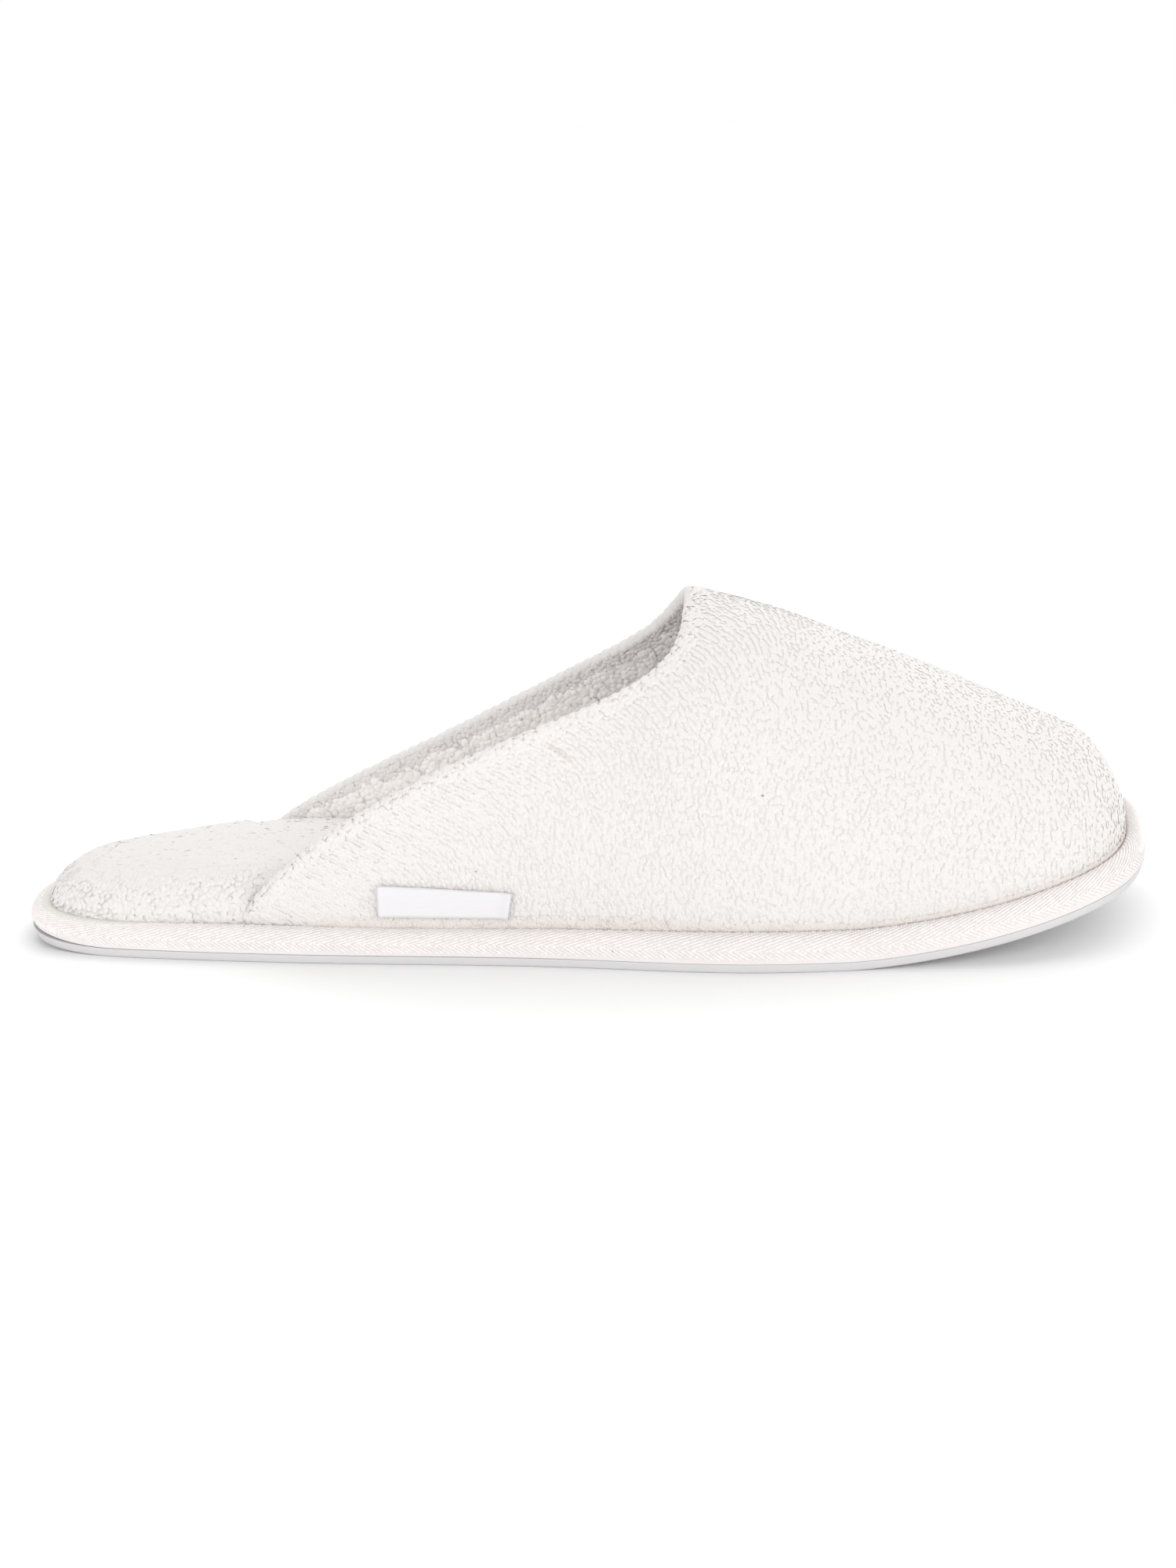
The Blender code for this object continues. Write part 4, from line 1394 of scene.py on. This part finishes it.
def build_strip(material):
    """The bare edge of the upper's backing, which shows along the seam between the pile and the tape."""
    mesh_data = bmesh.new()
    lateral_start = np.interp(STRIP_START, EDGE[: TOE + 1, 0], EDGE_RUN[: TOE + 1])
    medial_x = np.concatenate([EDGE[TOE:, 0], EDGE[:1, 0]])[::-1]
    medial_end = np.interp(STRIP_START, medial_x, EDGE_RUN[TOE:][::-1])
    runs = np.linspace(lateral_start, medial_end, STRIP_STATIONS)
    tall = tall_at(runs)[0]
    sections = []
    for inward, up in STRIP_SECTION:
        wave = STRIP_WAVE * np.sin(runs * STRIP_WAVE_TURN) * (up > 0)
        points = tape_point(runs, UPPER_SETBACK + inward + wave, BINDING_TOP)
        points[:, 2] += up * tall if up > 0 else up
        sections.append(add_points(mesh_data, points))
    for one, other in zip(sections, sections[1:] + sections[:1]):
        bridge(mesh_data, one, other, closed=False)
    for end in (0, -1):
        mesh_data.faces.new([row[end] for row in sections])
    strip = make_object("seam_backing", mesh_data, material)
    rng = np.random.default_rng(SEED + 6)
    run = rng.uniform(runs[0] + STRIP_END_CLEAR, runs[-1] - STRIP_END_CLEAR, STRIP_TUFTS)
    tall, outward = tall_at(run)
    front = UPPER_SETBACK + min(inward for inward, _ in STRIP_SECTION)
    place = tape_point(run, np.full(STRIP_TUFTS, front), BINDING_TOP)
    place[:, 2] += rng.uniform(STRIP_TUFT_LOW, STRIP_TUFT_HIGH, STRIP_TUFTS) * tall
    outward = np.hstack([outward, np.zeros((STRIP_TUFTS, 1))])
    down = np.tile([0.0, 0.0, -1.0], (STRIP_TUFTS, 1))
    lying = unit(down + rng.normal(size=outward.shape) * STRIP_STRAY)
    points = scatter("backing_points", place, outward, lying)
    grow_tufts(strip, points, material, "backing")
    return strip


# The side tab. RISE: how much higher it lies than the frame's label, LEAN: how far its front edge leans back
TAB_THICKNESS = 0.45
TAB_RISE = 1.1
TAB_LEAN = 1.2
TAB_COLUMNS = 40
TAB_ROWS = 10
TAB_CLEAR = 0.45

# How far each end curls away from the pile, and over which share of its length
TAB_BACK_CURL = (0.35, 0.03)
TAB_FRONT_CURL = (0.7, 0.05)
TAB_WAVE = 0.12


def build_tab(material):
    """The blank side tab: a folded satin ribbon, its ends standing a little off the pile."""
    middle = (LABEL_ALONG - 0.5) * LENGTH
    across = np.linspace(0, 1, TAB_COLUMNS + 1)
    low = BINDING_TOP - SEAT + GAP + TAB_RISE
    tall = LABEL_BACK_HEIGHT + (LABEL_FRONT_HEIGHT - LABEL_BACK_HEIGHT) * across
    curls = ((across, *TAB_BACK_CURL), (1 - across, *TAB_FRONT_CURL))
    curled = TAB_CLEAR + sum(depth * np.exp(-((from_end / reach) ** 2)) for from_end, depth, reach in curls)
    mesh_data = bmesh.new()
    faces = []
    for depth in (0.0, TAB_THICKNESS):
        rows = []
        for up in np.linspace(0, 1, TAB_ROWS + 1):
            x = middle + (across - 0.5) * LABEL_LENGTH - TAB_LEAN * (1 - up) * across
            height = low + tall * up
            share = np.arcsin((height / ridge_height(x)) ** (SECTION_ROUNDNESS / 2)) / (math.pi / 2) - 1
            away = curled + TAB_WAVE * np.sin(across * 9.0 + up * 1.5) * up + depth
            points = upper_point(x, share) + upper_outward(x, share) * away[:, None]
            rows.append(add_points(mesh_data, points))
        faces.append(rows)
    for rows in faces:
        for one, other in zip(rows, rows[1:]):
            bridge(mesh_data, one, other, closed=False)
    back, front = faces
    for i in (0, -1):
        bridge(mesh_data, back[i], front[i], closed=False)
        bridge(mesh_data, [row[i] for row in back], [row[i] for row in front], closed=False)
    return make_object("side_tab", mesh_data, material)


# The stage


FLOOR_REACH = 60000.0


def build_floor():
    """A wide plain pale floor."""
    mesh_data = bmesh.new()
    bmesh.ops.create_grid(mesh_data, x_segments=1, y_segments=1, size=FLOOR_REACH)
    paint = Paint("pale_floor", Specular_IOR_Level=0.1)
    mottling = paint.noise(paint.here(), 400.0)
    paint.colour(paint.blend(mottling, shade(FLOOR_COLOUR), shade(FLOOR_PATCH)))
    paint.roughness(0.9)
    floor = make_object("floor", mesh_data, paint.material)


def build_camera():
    """The photograph's camera: its place from the angles and distance, its lens and shift from the pixels."""
    elevation, turn, roll = (math.radians(a) for a in (CAMERA_ELEVATION, CAMERA_TURN, CAMERA_ROLL))
    level, steep = math.cos(elevation), math.sin(elevation)
    forward = np.array([math.sin(turn) * level, math.cos(turn) * level, -steep])
    right = np.array([math.cos(turn), -math.sin(turn), 0.0])
    up = np.cross(right, forward)
    across = math.cos(roll) * right - math.sin(roll) * up
    over = math.sin(roll) * right + math.cos(roll) * up
    axes = np.array([across, over, -forward])
    place = (np.array(CAMERA_TARGET) - forward * CAMERA_DISTANCE) * MM
    camera = bpy.data.cameras.new("camera")
    camera.sensor_width = SENSOR
    camera.lens = FOCAL_PIXELS * SENSOR / PHOTO_SIZE[1]
    camera.shift_x = (PHOTO_SIZE[0] / 2 - PRINCIPAL_POINT[0]) / PHOTO_SIZE[1]
    camera.shift_y = (PRINCIPAL_POINT[1] - PHOTO_SIZE[1] / 2) / PHOTO_SIZE[1]
    camera.clip_start = 0.01
    made = add_object("camera", camera)
    made.matrix_world = Matrix([[*axes[:, i], place[i]] for i in range(3)] + [[0, 0, 0, 1]])
    bpy.context.scene.camera = made


# The surround's strength overhead, against 1 low down, and how high it changes, as shares of straight up
SKY = 0.56
SKY_LOW = 0.1
SKY_HIGH = 0.6

# The lamps. towards: the direction that each shines from, breadth: the angle in degrees that it fills
LAMPS = (
    ("back_lamp", (0.25, 0.9, 0.95), 75, 1.75),
    ("toe_lamp", (0.6, -1.0, 0.35), 60, 1.0),
    ("heel_lamp", (-0.35, -1.0, 0.25), 60, 0.82),
)


def build_light():
    """Plain soft studio light: a pale surround, brightest low down, a broad lamp behind and two in front."""
    world = bpy.data.worlds.new("surround")
    world.use_nodes = True
    sky = Tree(world.node_tree)
    toward = sky.node("ShaderNodeTexCoord", output="Generated")
    height = sky.node("ShaderNodeSeparateXYZ", {0: toward}, output="Z")
    inputs = {"Value": height, "From Min": SKY_LOW, "From Max": SKY_HIGH, "To Min": 1.0, "To Max": SKY}
    level = sky.node("ShaderNodeMapRange", inputs)
    background = world.node_tree.nodes["Background"]
    background.inputs["Color"].default_value = (1, 1, 1, 1)
    sky.feed(background.inputs["Strength"], level)
    bpy.context.scene.world = world
    for name, towards, breadth, strength in LAMPS:
        lamp = bpy.data.lights.new(name, "SUN")
        lamp.angle = math.radians(breadth)
        lamp.energy = strength
        back = unit(np.array(towards))
        side = unit(np.cross([0.0, 1.0, 0.01], back))
        over = np.cross(back, side)
        turned = Matrix([[side[i], over[i], back[i], back[i]] for i in range(3)] + [[0, 0, 0, 1]])
        add_object(name, lamp).matrix_world = turned
    bpy.context.scene.view_settings.view_transform = "Standard"


# Small marks on the cloths, as x, y and z on the lateral side, radius and how dark. Most are specks
TERRY_SPECKS_AND_CREASE_SHADE = (
    ((102.4, -16.6, 43.6), 0.40, 0.35),
    ((42.7, -40.1, 38.0), 0.40, 0.35),
    ((-21.4, -34.5, 20.6), 0.34, 0.55),
    # These five, in a row, are painted shade of a small crease, darker and warmer than the cloth
    ((-3.6, -31.8, 48.1), 0.90, 0.93),
    ((-2.6, -32.0, 47.4), 0.90, 0.90),
    ((-1.6, -32.3, 46.7), 0.90, 0.89),
    ((-0.6, -32.5, 46.0), 0.90, 0.90),
    ((0.4, -32.8, 45.3), 0.80, 0.93),
)
TAPE_MARKS = (
    ((-75.3, -30.9, 7.7), 0.35, 0.30),
    ((9.1, -43.9, 4.5), 0.35, 0.30),
)


def build_all():
    """Every piece of the slipper, each riding on the one body."""
    terry_cloth = terry("terry_pile", TERRY_COLOUR, 0.45, TERRY_SPECKS_AND_CREASE_SHADE)
    lining_cloth = terry("terry_lining", LINING_COLOUR_LIGHTENED, 0.6)
    tape = herringbone(TAPE_MARKS)
    upper_pieces = build_upper(terry_cloth, lining_cloth)
    pieces = (
        (build_outsole(), "outsole", ["outsole"]),
        (build_tape(tape), "tape", ["edge_binding"]),
        (build_insole(terry_cloth), "terry", ["insole"]),
        *((piece, "terry", ["upper"]) for piece in upper_pieces),
        (build_strip(backing()), "terry", []),
        (build_tab(satin()), "label", ["label"]),
    )
    for piece, slot, nodes in pieces:
        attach(piece, "root")
        if nodes:
            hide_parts(*nodes)
    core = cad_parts["midsole"]
    core.data.materials.clear()
    core.data.materials.append(foam())


build_all()
build_floor()
build_camera()
build_light()
